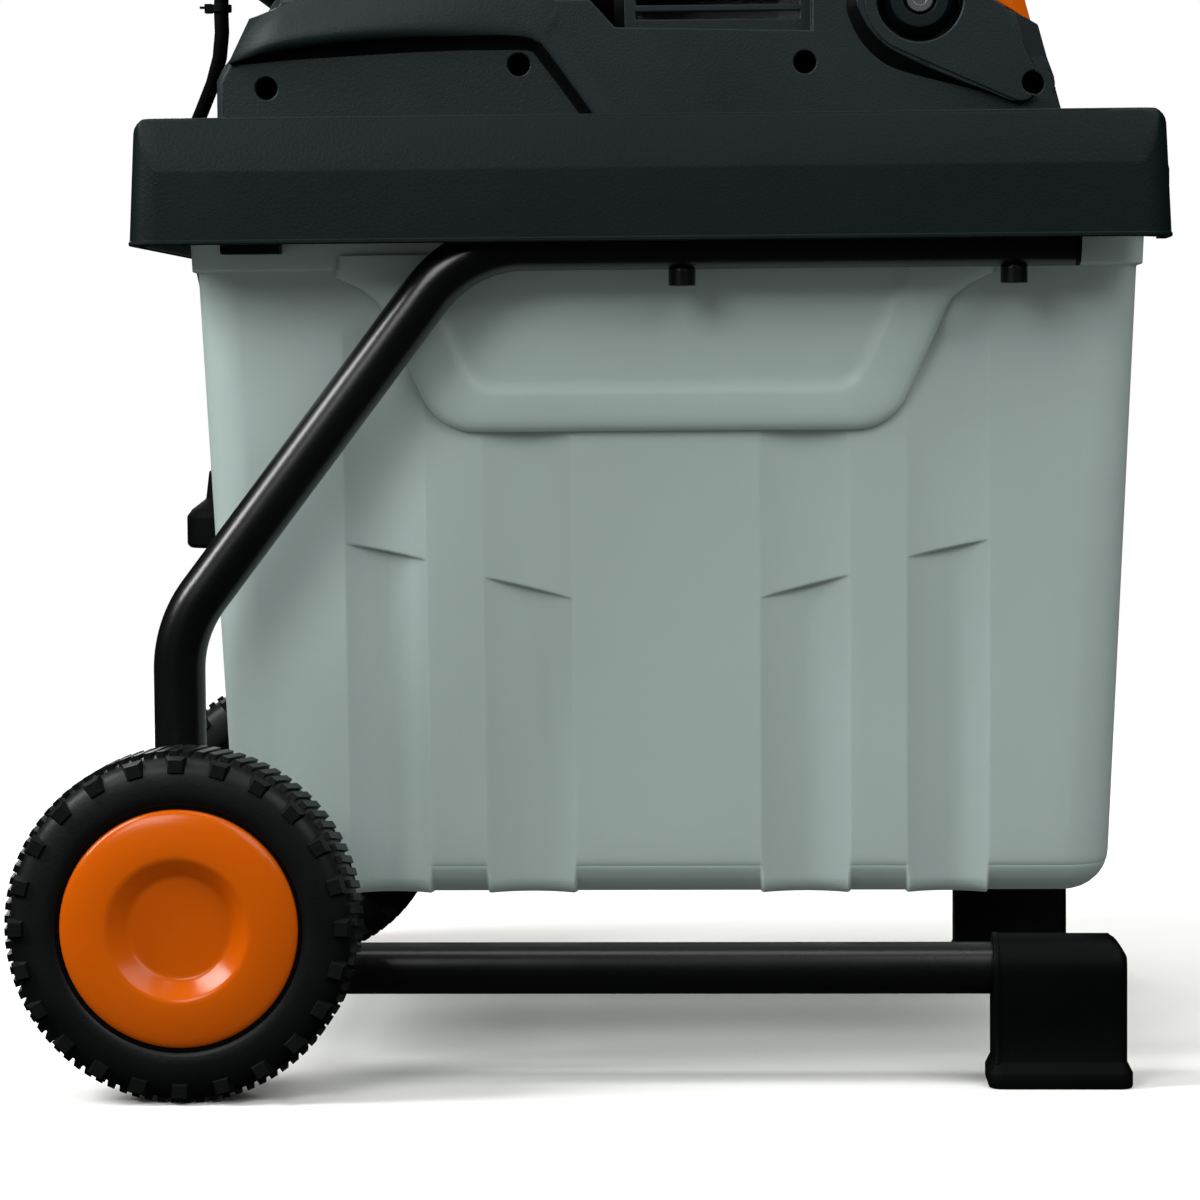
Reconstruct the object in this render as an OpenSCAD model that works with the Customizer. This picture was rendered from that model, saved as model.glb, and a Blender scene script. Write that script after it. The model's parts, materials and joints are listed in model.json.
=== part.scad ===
// Garden shredder with a cutting drum, a tube frame on two wheels and a collection box.
// Millimetres, +Z up, +X to the front, -Y to the side with the adjuster knob.

/* [Wheels] */
// Diameter over the tread
wheel_d = 168; // [156:1:180]
// Width of the tyre
wheel_w = 46; // [40:1:54]
// Diameter of the hub cap
hub_cap_d = 114; // [104:1:120]
// Depth of the dish in the hub cap
hub_dish = 8; // [4:0.5:11]
// Diameter of the axle
axle_d = 12; // [10:0.5:14]
// Shoulder lugs round each tyre
shoulder_lugs = 24; // [16:1:30]
// Cross ribs round each tread
tread_ribs = 72; // [48:1:80]

/* [Frame] */
// Outside diameter of the frame tubes
tube_d = 25; // [22:0.5:28]
// Wall of the frame tubes
tube_wall = 1.5; // [1:0.1:2.5]
// Distance between the two frame tubes
tube_gauge = 360; // [350:1:380]
// Centre-line radius of the bend at the wheels
rear_bend_r = 55; // [50:1:62]
// Centre-line radius of the two brace bends
brace_bend_r = 60; // [45:1:75]
// Height of the lower run
lower_run_z = 55.8; // [48:0.1:62]
// Height of the upper run
upper_run_z = 405.8; // [396:0.1:420]
// Place of the upright
upright_x = -200.5; // [-206:0.5:-196]
// Height where the brace leaves the upright
brace_foot_z = 222; // [205:1:240]
// Place where the brace meets the upper run
brace_top_x = -60.4; // [-75:0.1:-45]
// Distance from the end of the upper run to the front of the tray
tube_set_back = 45.5; // [38:0.5:56]
// Diameter of the frame bolts
frame_bolt_d = 8; // [6:1:10]
// Distance from the front frame bolts to the end of the tube
bolt_set_back = 28.9; // [24:0.1:36]
// Distance between the frame bolts
bolt_pitch = 158.5; // [140:0.5:170]

/* [Feet] */
// Distance from the rear face of the feet to the front of the tray
foot_set_back = 82.5; // [74:0.5:92]
// Length of a foot
foot_len = 64.5; // [55:0.5:70]
// Width of a foot at the sole
foot_w = 44; // [40:1:50]
// Plastic round the tube in a foot
foot_wall = 4.7; // [3:0.1:6]
// Thickness of the rubber sole
sole_t = 10; // [6:0.5:14]

/* [Tray] */
// Rear edge of the tray
tray_rear_x = -218.3; // [-226:0.1:-212]
// How much longer the tray is than the rim of the box
tray_over = 31.8; // [28:0.1:38]
// Height of the tray
tray_h = 60.4; // [54:0.1:70]
// Height of the upright lower facet
tray_skirt_h = 32.5; // [26:0.5:40]
// How far the top of the tray draws in
tray_draw_in = 5.5; // [3:0.5:9]
// Space between the tube and the edge of the tray
tray_lap = 11.5; // [9:0.5:18]
// Corner radius of the tray
tray_corner_r = 32; // [20:1:45]
// Wall of the tray
tray_wall = 3.2; // [2.5:0.1:4.5]

/* [Collection box] */
// Distance from the rear edge of the tray to the box
box_set_in = 21.3; // [19:0.1:24]
// Length of the box at its rim
box_len = 464; // [450:1:468]
// Height of the box floor
box_floor_z = 85.5; // [80:0.5:96]
// Draft of the box walls, in degrees
box_draft = 2.5; // [1.5:0.1:3.2]
// Wall of the box
box_wall = 2.6; // [2:0.1:3.5]
// Height of the rim band
rim_h = 17; // [12:0.5:22]
// Depth of the flutes below their ledges
flute_depth = 6; // [3:0.5:8]
// Width of the outer flutes
outer_flute_w = 40; // [34:1:46]
// Width of the inner flutes
inner_flute_w = 44; // [36:1:50]
// How far the grip apron stands out
apron_t = 8; // [5:0.5:9]
// Height of the grip apron below the rim
apron_h = 96; // [80:1:105]

/* [Housing] */
// Rear face of the housing
housing_rear_x = -184.6; // [-190:0.1:-180]
// Front foot of the housing
housing_front_x = 227; // [224:0.5:232]
// Width of the housing
housing_w = 290; // [280:1:300]
// Width of the tower under the hopper
tower_w = 288; // [276:1:289]
// Height of the lower housing
hip_h = 66; // [62:0.5:72]
// Height of the tower above the tray
tower_h = 198; // [190:1:215]
// Lean of the front face, in degrees
front_lean = 15.3; // [12:0.1:17]
// Wall of the housing mouldings
shell_wall = 3; // [2.4:0.1:3.6]
// Diameter of the screw holes in the housing
screw_hole_d = 11; // [9:0.5:13]
// Height of the motor hood
hood_h = 103; // [99:1:115]

/* [Hopper] */
// Height of the hopper
hopper_h = 236; // [200:1:260]
// Length of the hopper mouth
mouth_len = 280; // [250:1:310]
// Width of the hopper mouth
mouth_w = 330; // [290:1:360]

/* [Cutter] */
// Height of the drum axis above the tray
drum_h = 57.3; // [54:0.1:60]
// Diameter over the drum teeth
drum_d = 90; // [80:1:92]
// Length of the cutting drum
drum_len = 80; // [70:1:84]
// Teeth on the drum
drum_teeth = 8; // [6:1:10]
// Diameter of the drum shaft
drum_shaft_d = 20; // [16:1:22]
// Place of the adjuster knob
knob_x = 160; // [150:1:168]
// Diameter of the adjuster knob
knob_d = 36; // [30:1:40]
// Travel of the pressure plate
plate_travel = 3; // [2:0.5:3.5]

/* [Drive] */
// Rear face of the gearbox
gearbox_x = 20; // [17.5:0.5:21]
// Teeth on the large gears
gear_teeth = 72; // [66:1:74]
// Teeth on the pinions
pinion_teeth = 12; // [11:1:13]
// Module of the motor stage
fast_module = 1; // [0.95:0.01:1.05]
// Module of the drum stage
slow_module = 1.25; // [1.2:0.01:1.28]
// Width of the fast gear
fast_gear_w = 12; // [9:1:14]
// Width of the drum gear
slow_gear_w = 18; // [14:1:20]
// Diameter of the stator
stator_d = 124; // [112:1:130]
// Length of the stator
stator_len = 126; // [110:1:130]
// Diameter of the motor shaft
motor_shaft_d = 15; // [12:1:17]

/* [Controls] */
// Diameter of the start and stop buttons
button_d = 22; // [18:1:26]
// Travel of the buttons
button_travel = 3; // [2:0.5:4]
// Diameter of the direction selector
selector_d = 34; // [28:1:38]

/* [Mains lead] */
// Diameter of the lead
cord_d = 8; // [7:0.5:9]

/* [Hidden] */
$fn = 64;

// Fits
run_gap = 0.05;
snug_gap = 0.1;
free_gap = 0.3;
over = 1;
skin_t = 0.02;

// Frame
tube_y = tube_gauge / 2;
tube_r = tube_d / 2;
rear_bend_z = lower_run_z + rear_bend_r;
axle_z = wheel_d / 2;
axle_x = upright_x + rear_bend_r - sqrt(pow(rear_bend_r, 2) - pow(rear_bend_z - axle_z, 2));
brace_angle = atan2(upper_run_z - brace_foot_z, brace_top_x - upright_x);
foot_tube_end = foot_len - 14;
tray_len = box_len + tray_over;
tray_front_x = tray_rear_x + tray_len;
foot_x = tray_front_x - foot_set_back;
tube_front_x = tray_front_x - tube_set_back;
bolt_front_x = tube_front_x - bolt_set_back;
bolt_xs = [bolt_front_x - bolt_pitch, bolt_front_x];
bolt_head_d = frame_bolt_d + 5;
bolt_head_h = frame_bolt_d;
bolt_grip = 24;
plug_t = 2.5;
weld_lap = 0.5;
weld_step = 0.02;

// Wheels, measured outwards from the tube
washer_t = 3;
wheel_in_y = tube_y + tube_r + washer_t + 2 * free_gap;
wheel_out_y = wheel_in_y + wheel_w;
hub_bore_r = axle_d / 2 + run_gap;
hub_rim_t = 3.5;
hub_rim_r = hub_cap_d / 2 + snug_gap + hub_rim_t;
hub_boss_r = axle_d / 2 + 9;
cap_recess = 2;
cap_wall = 2.5;
axle_end_y = wheel_out_y - hub_dish - cap_wall - 8;
retainer_t = 4;
tread_depth = 2;
lug_depth = 2.6;
shoulder_w = 7;

// Tray
tray_edge_z = upper_run_z + 0.5;
deck_z = tray_edge_z + tray_h;
tray_half_w = tube_y + tube_r + tray_lap;
tray_mid_x = (tray_rear_x + tray_front_x) / 2;
plate_under_z = deck_z - tray_wall;
boss_r = 11;
deck_xs = [-90, 0, 90];

// Box and its rails
box_x = tray_rear_x + box_set_in + box_len / 2;
rail_wall = 3;
rail_y = tube_y - tube_r - 1;
flange_y = rail_y - rail_wall - 2 * free_gap;
flange_lap = 7.5;
rim_out = 3;
box_half_w = flange_y - flange_lap - rim_out;
flange_t = 4;
rail_lip_z = tray_edge_z + 1.7;
rail_lip_t = 3;
flange_z = rail_lip_z + rail_lip_t + free_gap;
flange_half_len = box_len / 2 + rim_out + 2.6;
box_edge_r = 20;
box_corner_r = 24;
rail_rear_x = -180;
rail_front_x = tray_front_x - 22;
rail_stop_len = 29;
rail_flange_w = 14;
mouth_top_z = flange_z + flange_t + 4.5;
flute_places = [[138, outer_flute_w, 171], [68, inner_flute_w, 153]];
ledge_slant = 12;
apron_half_w = 110;
apron_flare = 22;
apron_corner_r = 26;

// Housing
shell_y = housing_w / 2;
tower_y = tower_w / 2;
hip_z = deck_z + hip_h;
tower_z = deck_z + tower_h;
tower_rear_x = 16;
edge_round = 7;
screw_spots = [[-159.8, 18], [-35.5, 28.2], [104.3, 27.5], [housing_front_x - 12.3, 16.1]];
screw_boss_r = screw_hole_d / 2 + 2.6;
screw_seat_y = 110;
boss_end_y = 84;
lug_t = 8;
lug_half = 3.5;
pilot_r = 2;
panel_in = 4;
vent_depth = 11;
vent_x = [12, 107.8];
vent_top_z = deck_z + 96;
cowl_depth = 30;
cowl_foot_h = 45;
hood_rear_x = -170;
hood_lean = 20;
hood_half_w = 118;
hood_side_in = 23;
hood_corner_r = 25;
hood_top_z = hip_z + hood_h;

// Hopper
hopper_z = tower_z;
hopper_top_z = hopper_z + hopper_h;
hopper_wall = 3;
hopper_base_x = [tower_rear_x - 6, housing_front_x - tower_h * tan(front_lean) + 6];
hopper_base_half = tower_y - 8;
mouth_rear_x = -92;
hopper_r = 34;
rim_w = 9;
rim_t = 6;

// Cutter and gear train, along X from the gearbox
case_wall = 5;
case_end_t = 10;
bearing_w = 7;
gear_gap = 4;
fast_gear_x = gearbox_x + case_end_t + gear_gap;
slow_gear_x = fast_gear_x + fast_gear_w + 2 * gear_gap;
cover_x = slow_gear_x + slow_gear_w + gear_gap + 6;
cover_t = 10;
frame_x = cover_x + cover_t;
frame_end_t = 6;
drum_x = frame_x + frame_end_t + 7;
frame_front_x = drum_x + drum_len + 2;
frame_front_t = 11;
drum_z = deck_z + drum_h;
drum_r = drum_d / 2;
fast_axis = fast_module * (gear_teeth + pinion_teeth) / 2;
slow_axis = slow_module * (gear_teeth + pinion_teeth) / 2;
motor_rise = 32;
counter_rise = (pow(slow_axis, 2) - pow(fast_axis, 2) + pow(motor_rise, 2)) / (2 * motor_rise);
counter_y = sqrt(pow(slow_axis, 2) - pow(counter_rise, 2));
counter_z = drum_z + counter_rise;
motor_z = drum_z + motor_rise;
slow_mesh_angle = atan2(counter_rise, counter_y);
fast_mesh_angle = atan2(motor_z - counter_z, -counter_y);
counter_d = 12;
chamber_y = [-(drum_r + 24), drum_r + 9];
chamber_wall = 6;
chamber_z = drum_z + drum_r + 5;
plate_t = 13.5;
plate_face_y = -(drum_r + plate_travel + 0.5);
plate_h = 48;
plate_boss_h = 5;
plate_boss_r = 11;
spindle_d = 8;
spindle_grip = 11;
bush_r = spindle_d / 2 + 4;
bush_len = spindle_grip + 2;
knob_proud = 4;
knob_pocket = 12;
knob_y = -shell_y - knob_proud;
knob_t = knob_proud + knob_pocket - 2 * free_gap;
drum_bearing_r = drum_shaft_d / 2 + 7;
counter_bearing_r = counter_d / 2 + 8;
motor_bearing_r = motor_shaft_d / 2 + 9;
shield_t = 12;
shield_x = gearbox_x - shield_t;
stator_x = shield_x - stator_len;
rear_shield_x = stator_x - shield_t;
rotor_r = stator_d / 2 - 26.5;
air_gap = 0.5;
fan_w = 14;
fan_x = rear_shield_x - 3 - fan_w;
pinion_bore_r = 3;
capacitor_d = 40;
capacitor_x = [-142, -57];
capacitor_y = 96;

// Chute, from the hopper floor to the top of the chamber
chute_rear_x = drum_x + 1;
chute_gap = 4;
chute_half_y = drum_r + 3;
chute_wall = 3;

// Controls on the hood
panel_x = [-118, -16];
panel_half_w = 58;
panel_t = 5;
panel_z = hood_top_z;
start_at = [-92, -28];
stop_at = [-92, 28];
selector_at = [-46, -24];
reset_at = [-46, 30];
reset_d = 12;
button_flange = 1.5;
button_flange_t = 2;

// Lock and switch at the front of the tray
lock_x = tray_front_x - 9;
lock_pin_r = 3;
lock_half_w = 12;
lock_travel = 6;
lock_pocket_z = mouth_top_z;
lock_h = 9;
switch_size = [18, 30, 20];
switch_at = [tray_front_x - 50, -70];

// Lead: the route, from the gland to the plug
cord_route = [[-185, 60, 585], [-194, 60, 580.3], [-201.5, 60, 574.5], [-207, 60, 566.5],
  [-210.3, 60, 556], [-211, 61, 544], [-211, 63, 531], [-213, 67, 518], [-218, 75, 505],
  [-226, 87, 491], [-235, 101, 476], [-241, 117, 458], [-242, 132, 438], [-238, 144, 416],
  [-234, 150, 392], [-231, 152, 366], [-230, 152.5, 340], [-230, 152.5, 314], [-230, 152.5, 290]];
cord_sides = 10;
gland_len = 32;
gland_angle = 62;
tie_at = cord_route[5];
tie_wall = 1.5;
plug_len = 42;
plug_r = 18;
pin_r = 2.4;
pin_len = 19;
pin_pitch = 19;

body_black = "#20272a";
frame_black = "#15181a";
cap_orange = "#e07010";
box_white = "#b9c6c3";
steel = "silver";
cast_grey = "#8d9092";
copper_brown = "#8a4b2a";

// Shared shapes

module along_x(x) translate([x, 0, 0]) rotate([90, 0, 90]) children();

module along_y(y) translate([0, y, 0]) rotate([90, 0, 0]) children();

module both_sides() {
  children();
  mirror([0, 1, 0]) children();
}

module rounded_plan(len, wide, r) {
  hull()
    for (x = [-1, 1], y = [-1, 1])
      translate([x * (len / 2 - r), y * (wide / 2 - r)]) circle(r, $fn = 40);
}

// Thin discs at the corners of a rounded plan, to be hulled
module corner_discs(len, wide, r) {
  for (x = [-1, 1], y = [-1, 1])
    translate([x * (len / 2 - r), y * (wide / 2 - r), 0]) cylinder(h = skin_t, r = r, $fn = 40);
}

module rod_x(x0, x1, r, y = 0, z = 0) translate([x0, y, z]) rotate([0, 90, 0]) cylinder(h = x1 - x0, r = r);

module rod_y(y0, y1, r, x = 0, z = 0) translate([x, y0, z]) rotate([-90, 0, 0]) cylinder(h = y1 - y0, r = r);

module rod_z(z0, z1, r, x = 0, y = 0) translate([x, y, z0]) cylinder(h = z1 - z0, r = r);

module block(low, high) translate(low) cube(high - low);

// Spur gear outline with slack teeth; a tooth points along angle
function gear_point(teeth, module_mm, angle, i, k) =
  let (pitch = 360 / teeth,
    tip = k == 1 || k == 2,
    radius = module_mm * (teeth / 2 + (tip ? 0.85 : -1.2)),
    share = [-0.31, -0.12, 0.12, 0.31][k],
    a = angle + (i + share) * pitch)
  [radius * cos(a), radius * sin(a)];

module gear_plan(teeth, module_mm, angle) {
  polygon([for (i = [0:teeth - 1], k = [0:3]) gear_point(teeth, module_mm, angle, i, k)]);
}

// Ring with ribs on its outside
module ribbed_ring(inner_r, root_r, tip_r, ribs, share) {
  pitch = 360 / ribs;
  difference() {
    polygon([for (i = [0:ribs - 1], k = [0:3])
      let (a = (i + [0, share, share, 1][k]) * pitch, r = k < 2 ? tip_r : root_r)
      [r * cos(a), r * sin(a)]]);
    circle(inner_r);
  }
}

// Frame

// Straight stretch, let into the bends at its ends by a hair less than the wall
module tube_run(len, before, after) {
  translate([0, 0, -before]) linear_extrude(before + len + after) difference() {
    circle(tube_r - weld_step);
    circle(tube_r - tube_wall + weld_step);
  }
}

module tube_bend(bend_r, angle) {
  rotate_extrude(angle = angle) translate([bend_r, 0]) difference() {
    circle(tube_r);
    circle(tube_r - tube_wall);
  }
}

// Side tube in the XZ plane, from the end in the foot to the front end of the upper run
module side_tube() {
  lower_turn = 90;
  foot_turn = 90 - brace_angle;
  foot_cut = brace_bend_r * tan(foot_turn / 2);
  top_cut = brace_bend_r * tan(brace_angle / 2);
  brace_len = norm([brace_top_x - upright_x, upper_run_z - brace_foot_z]) - foot_cut - top_cut;
  lower_start_x = upright_x + rear_bend_r;
  translate([lower_start_x, 0, lower_run_z]) rotate([0, 90, 0])
    tube_run(foot_x + foot_tube_end - lower_start_x, weld_lap, 0);
  translate([lower_start_x, 0, rear_bend_z]) rotate([90, 0, 0]) rotate(180)
    tube_bend(rear_bend_r, lower_turn);
  translate([upright_x, 0, rear_bend_z]) tube_run(brace_foot_z - foot_cut - rear_bend_z, weld_lap, weld_lap);
  translate([upright_x + brace_bend_r, 0, brace_foot_z - foot_cut])
    rotate([90, 0, 0]) rotate(180 - foot_turn) tube_bend(brace_bend_r, foot_turn);
  translate([upright_x + foot_cut * cos(brace_angle), 0, brace_foot_z + foot_cut * sin(brace_angle)])
    rotate([0, 90 - brace_angle, 0]) tube_run(brace_len, weld_lap, weld_lap);
  translate([brace_top_x + top_cut, 0, upper_run_z - brace_bend_r])
    rotate([90, 0, 0]) rotate(90) tube_bend(brace_bend_r, brace_angle);
  translate([brace_top_x + top_cut, 0, upper_run_z]) rotate([0, 90, 0])
    tube_run(tube_front_x - brace_top_x - top_cut, weld_lap, 0);
}

module frame_tube(side) {
  color(frame_black) translate([0, side * tube_y, 0]) difference() {
    side_tube();
    rod_y(-tube_d, tube_d, axle_d / 2 + snug_gap, axle_x, axle_z);
    for (x = bolt_xs) rod_z(upper_run_z - tube_d, upper_run_z + tube_d, frame_bolt_d / 2 + snug_gap, x);
  }
}

module frame_tube_right() frame_tube(-1);

module frame_tube_left() frame_tube(1);

module tube_plugs() {
  color(frame_black) both_sides() translate([0, tube_y, upper_run_z]) {
    rod_x(tube_front_x, tube_front_x + plug_t, tube_r);
    rod_x(tube_front_x - 15, tube_front_x, tube_r - tube_wall - snug_gap);
  }
}

module foot(side) {
  top_r = tube_r + foot_wall;
  nose_r = 12;
  color(frame_black) translate([0, side * tube_y, 0]) difference() {
    intersection() {
      along_x(foot_x) linear_extrude(foot_len) hull() {
        translate([0, lower_run_z]) circle(top_r);
        translate([-foot_w / 2, sole_t]) square([foot_w, 1]);
      }
      along_y(foot_w) linear_extrude(2 * foot_w) union() {
        translate([foot_x, 0]) square([foot_len - nose_r, lower_run_z + top_r]);
        translate([foot_x, 0]) square([foot_len, lower_run_z + top_r - nose_r]);
        translate([foot_x + foot_len - nose_r, lower_run_z + top_r - nose_r]) circle(nose_r);
      }
    }
    rod_x(foot_x - over, foot_x + foot_tube_end + free_gap, tube_r + snug_gap, 0, lower_run_z);
  }
}

module foot_right() foot(-1);

module foot_left() foot(1);

module foot_pads() {
  color(frame_black) both_sides() translate([foot_x + foot_len / 2 + 1, tube_y, 0])
    linear_extrude(sole_t) rounded_plan(foot_len + 1, foot_w + 2, 5);
}

module axle() {
  color(steel) rod_y(-axle_end_y, axle_end_y, axle_d / 2, axle_x, axle_z);
}

module axle_retainers() {
  color(steel) both_sides() {
    difference() {
      rod_y(tube_y + tube_r + free_gap, tube_y + tube_r + free_gap + washer_t, axle_d, axle_x, axle_z);
      rod_y(tube_y, wheel_out_y, axle_d / 2 + run_gap, axle_x, axle_z);
    }
    difference() {
      rod_y(axle_end_y - retainer_t, axle_end_y + 1.5, axle_d / 2 + 4, axle_x, axle_z);
      rod_y(tube_y, axle_end_y, axle_d / 2 + run_gap, axle_x, axle_z);
    }
  }
}

module frame_bolts() {
  head_top = upper_run_z - tube_r;
  color(frame_black) both_sides() for (x = bolt_xs) difference() {
    union() {
      rod_z(head_top - bolt_head_h, head_top, bolt_head_d / 2, x, tube_y);
      rod_z(head_top, upper_run_z + tube_r + bolt_grip, frame_bolt_d / 2, x, tube_y);
    }
    translate([x, tube_y, head_top - bolt_head_h - over])
      cylinder(h = bolt_head_h / 2 + over, d = frame_bolt_d * 0.85, $fn = 6);
  }
}

// Tray with its skirt, deck, bosses and lugs

module tray_hollow(inset, z0, z1) {
  crease_z = tray_edge_z + tray_skirt_h;
  long = tray_len - 2 * inset;
  wide = 2 * (tray_half_w - inset);
  r = tray_corner_r - inset;
  lean = tray_draw_in / (tray_h - tray_skirt_h);
  top_in = (z1 - crease_z) * lean;
  translate([tray_mid_x, 0, z0]) linear_extrude(crease_z - z0) rounded_plan(long, wide, r);
  hull() {
    translate([tray_mid_x, 0, crease_z - skin_t]) corner_discs(long, wide, r);
    translate([tray_mid_x, 0, z1 - skin_t])
      corner_discs(long - 2 * top_in, wide - 2 * top_in, r - top_in / 2);
  }
}

module screw_lugs() {
  for (spot = screw_spots)
    difference() {
      block([spot[0] - lug_half, boss_end_y - lug_t, deck_z - tray_wall],
        [spot[0] + lug_half, boss_end_y, deck_z + spot[1] + lug_half]);
      rod_y(boss_end_y - lug_t - over, boss_end_y + over, pilot_r + snug_gap, spot[0], deck_z + spot[1]);
    }
}

module tray() {
  pocket_depth = 15;
  color(body_black) difference() {
    union() {
      difference() {
        tray_hollow(0, tray_edge_z, deck_z);
        tray_hollow(tray_wall, tray_edge_z - over, plate_under_z);
      }
      both_sides() {
        for (x = bolt_xs) rod_z(upper_run_z + tube_r, plate_under_z + over, boss_r, x, tube_y);
        screw_lugs();
      }
      block([tray_front_x - pocket_depth - tray_wall, -lock_half_w - 5, lock_pocket_z],
        [tray_front_x - 1, lock_half_w + 5, plate_under_z + over]);
    }
    // Way out for the chippings
    block([drum_x - 2, -drum_r - 2, plate_under_z - over],
      [drum_x + drum_len + 2, drum_r + 2, deck_z + over]);
    // Mouth in the front skirt for the rim of the box
    block([tray_mid_x, -flange_y - free_gap, tray_edge_z - over],
      [tray_front_x + over, flange_y + free_gap, mouth_top_z]);
    // Pocket of the box lock
    block([tray_front_x - pocket_depth, -lock_half_w - free_gap, lock_pocket_z + 3],
      [tray_front_x + over, lock_half_w + free_gap, lock_pocket_z + 3 + lock_h + lock_travel + 1]);
    rod_z(lock_pocket_z - over, lock_pocket_z + 4, lock_pin_r + free_gap, lock_x);
    both_sides() for (x = bolt_xs)
      rod_z(upper_run_z, upper_run_z + tube_r + bolt_grip + 2, frame_bolt_d / 2 + snug_gap, x, tube_y);
  }
}

module rail() {
  web_y = rail_y - rail_wall;
  lip_y = flange_y - flange_lap + 2 * free_gap;
  color(body_black) difference() {
    union() {
      block([rail_rear_x, web_y, rail_lip_z], [rail_front_x, rail_y, plate_under_z]);
      block([rail_rear_x, lip_y, rail_lip_z], [rail_front_x, rail_y, rail_lip_z + rail_lip_t]);
      block([rail_rear_x, rail_y - rail_flange_w, plate_under_z - rail_wall],
        [rail_front_x, rail_y, plate_under_z]);
      block([rail_rear_x, lip_y, rail_lip_z - 5], [rail_rear_x + rail_stop_len, rail_y, rail_lip_z]);
    }
    for (x = deck_xs) rod_z(plate_under_z - 2 * rail_wall, plate_under_z + over, pilot_r + snug_gap, x,
      rail_y - rail_flange_w / 2 - 1);
  }
}

module rail_right() mirror([0, 1, 0]) rail();

module rail_left() rail();

module rail_screws() {
  head_z = plate_under_z - rail_wall;
  color(steel) both_sides() for (x = deck_xs) translate([x, rail_y - rail_flange_w / 2 - 1, 0]) {
    rod_z(head_z - 2.5, head_z, 4);
    rod_z(head_z, plate_under_z, pilot_r);
  }
}

// Collection box

// Tapered tub with a rounded floor edge, one ring of corner discs for each level
module box_form(inset, top_z) {
  floor_r = box_edge_r - inset;
  floor_z = box_floor_z + inset;
  drop = (top_z - floor_z - floor_r) * tan(box_draft);
  low_r = box_corner_r - inset;
  turns = [0, 30, 60, 90];
  hull() {
    for (t = turns) {
      draw_in = drop + floor_r * (1 - sin(t));
      translate([box_x, 0, floor_z + floor_r * (1 - cos(t))])
        corner_discs(box_len - 2 * (inset + draw_in), 2 * (box_half_w - inset - draw_in),
          low_r - floor_r * (1 - sin(t)));
    }
    translate([box_x, 0, top_z - skin_t])
      corner_discs(box_len - 2 * inset, 2 * (box_half_w - inset), low_r);
  }
}

// Round channel down the wall of the box, deeper below its slanted ledge
module flute(spot, grow) {
  half = spot[1] / 2;
  ledge_z = box_floor_z + spot[2];
  outwards = spot[0] > 0 ? 1 : -1;
  wall_in = (flange_z - ledge_z) * tan(box_draft);
  translate([box_x + spot[0], box_half_w - wall_in, ledge_z]) rotate([-box_draft, 0, 0]) {
    difference() {
      flute_bore(half, flute_depth, grow, -ledge_z, half);
      rotate([0, -outwards * ledge_slant, 0]) block([-2 * half, -2 * half, 0], 2 * [half, half, half]);
    }
    flute_bore(half, flute_depth / 2, grow, -half, flange_z - apron_h / 2 - ledge_z);
  }
}

module flute_bore(half, depth, grow, z0, z1) {
  bend_r = (half * half + depth * depth) / (2 * depth);
  translate([0, bend_r - depth, z0]) cylinder(h = z1 - z0, r = bend_r + grow, $fn = 96);
}

module box_flutes(grow) {
  both_sides() for (spot = flute_places, end = [-1, 1])
    flute([end * spot[0], spot[1], spot[2]], grow);
}

// Grip apron: a raised trapezoid with rounded lower corners
module apron_plan(inset) {
  low = flange_z - apron_h + inset;
  top = rail_lip_z - 1.5 - inset;
  r = apron_corner_r - inset / 2;
  half = apron_half_w - inset;
  hull() {
    for (x = [-1, 1]) {
      translate([box_x + x * (half - r), low + r]) circle(r, $fn = 40);
      translate([box_x + x * (half + tan(apron_flare) * (top - low)), top - 1]) circle(1, $fn = 16);
    }
  }
}

// Aprons on both long walls; what lies between them is hollowed out with the box
module grip_aprons() {
  face_y = box_half_w + apron_t / 2;
  difference() {
    along_y(face_y) linear_extrude(2 * face_y) apron_plan(0);
    difference() {
      along_y(face_y + over) linear_extrude(2 * (face_y + over)) apron_plan(20);
      block([-box_len, -box_half_w, 0], [box_len, box_half_w, flange_z]);
    }
  }
}

module collection_box() {
  rim_z = flange_z - rim_h;
  color(box_white) difference() {
    union() {
      difference() {
        box_form(0, flange_z);
        box_flutes(0);
      }
      grip_aprons();
      translate([box_x, 0, rim_z]) linear_extrude(rim_h)
        rounded_plan(box_len + 2 * rim_out, 2 * (box_half_w + rim_out), box_corner_r + rim_out);
      translate([box_x, 0, flange_z]) linear_extrude(flange_t)
        rounded_plan(2 * flange_half_len, 2 * flange_y, box_corner_r + rim_out);
    }
    difference() {
      box_form(box_wall, flange_z + flange_t + over);
      box_flutes(box_wall);
    }
    rod_z(flange_z - over, flange_z + flange_t + over, lock_pin_r + 2 * free_gap, lock_x);
  }
}

module box_lock() {
  seat_z = lock_pocket_z + 3 + lock_travel;
  color(cap_orange) {
    difference() {
      block([tray_front_x - 14, -lock_half_w, seat_z], [tray_front_x - 1, lock_half_w, seat_z + lock_h]);
      for (z = [2, 4.5, 7])
        rod_y(-lock_half_w - over, lock_half_w + over, 0.7, tray_front_x - 1, seat_z + z);
    }
    rod_z(flange_z + flange_t + 2, seat_z + over, lock_pin_r, lock_x);
  }
}

module safety_switch() {
  color(frame_black) {
    translate([switch_at[0], switch_at[1], plate_under_z - switch_size[2]]) cube(switch_size);
    rod_x(switch_at[0] + switch_size[0], switch_at[0] + switch_size[0] + 3, 3,
      switch_at[1] + switch_size[1] / 2, plate_under_z - switch_size[2] / 2);
  }
}

// Wheels

module wheel_at(side) {
  translate([axle_x, 0, axle_z]) scale([1, side, 1])
    translate([0, wheel_in_y, 0]) rotate([-90, 0, 0]) children();
}

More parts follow.
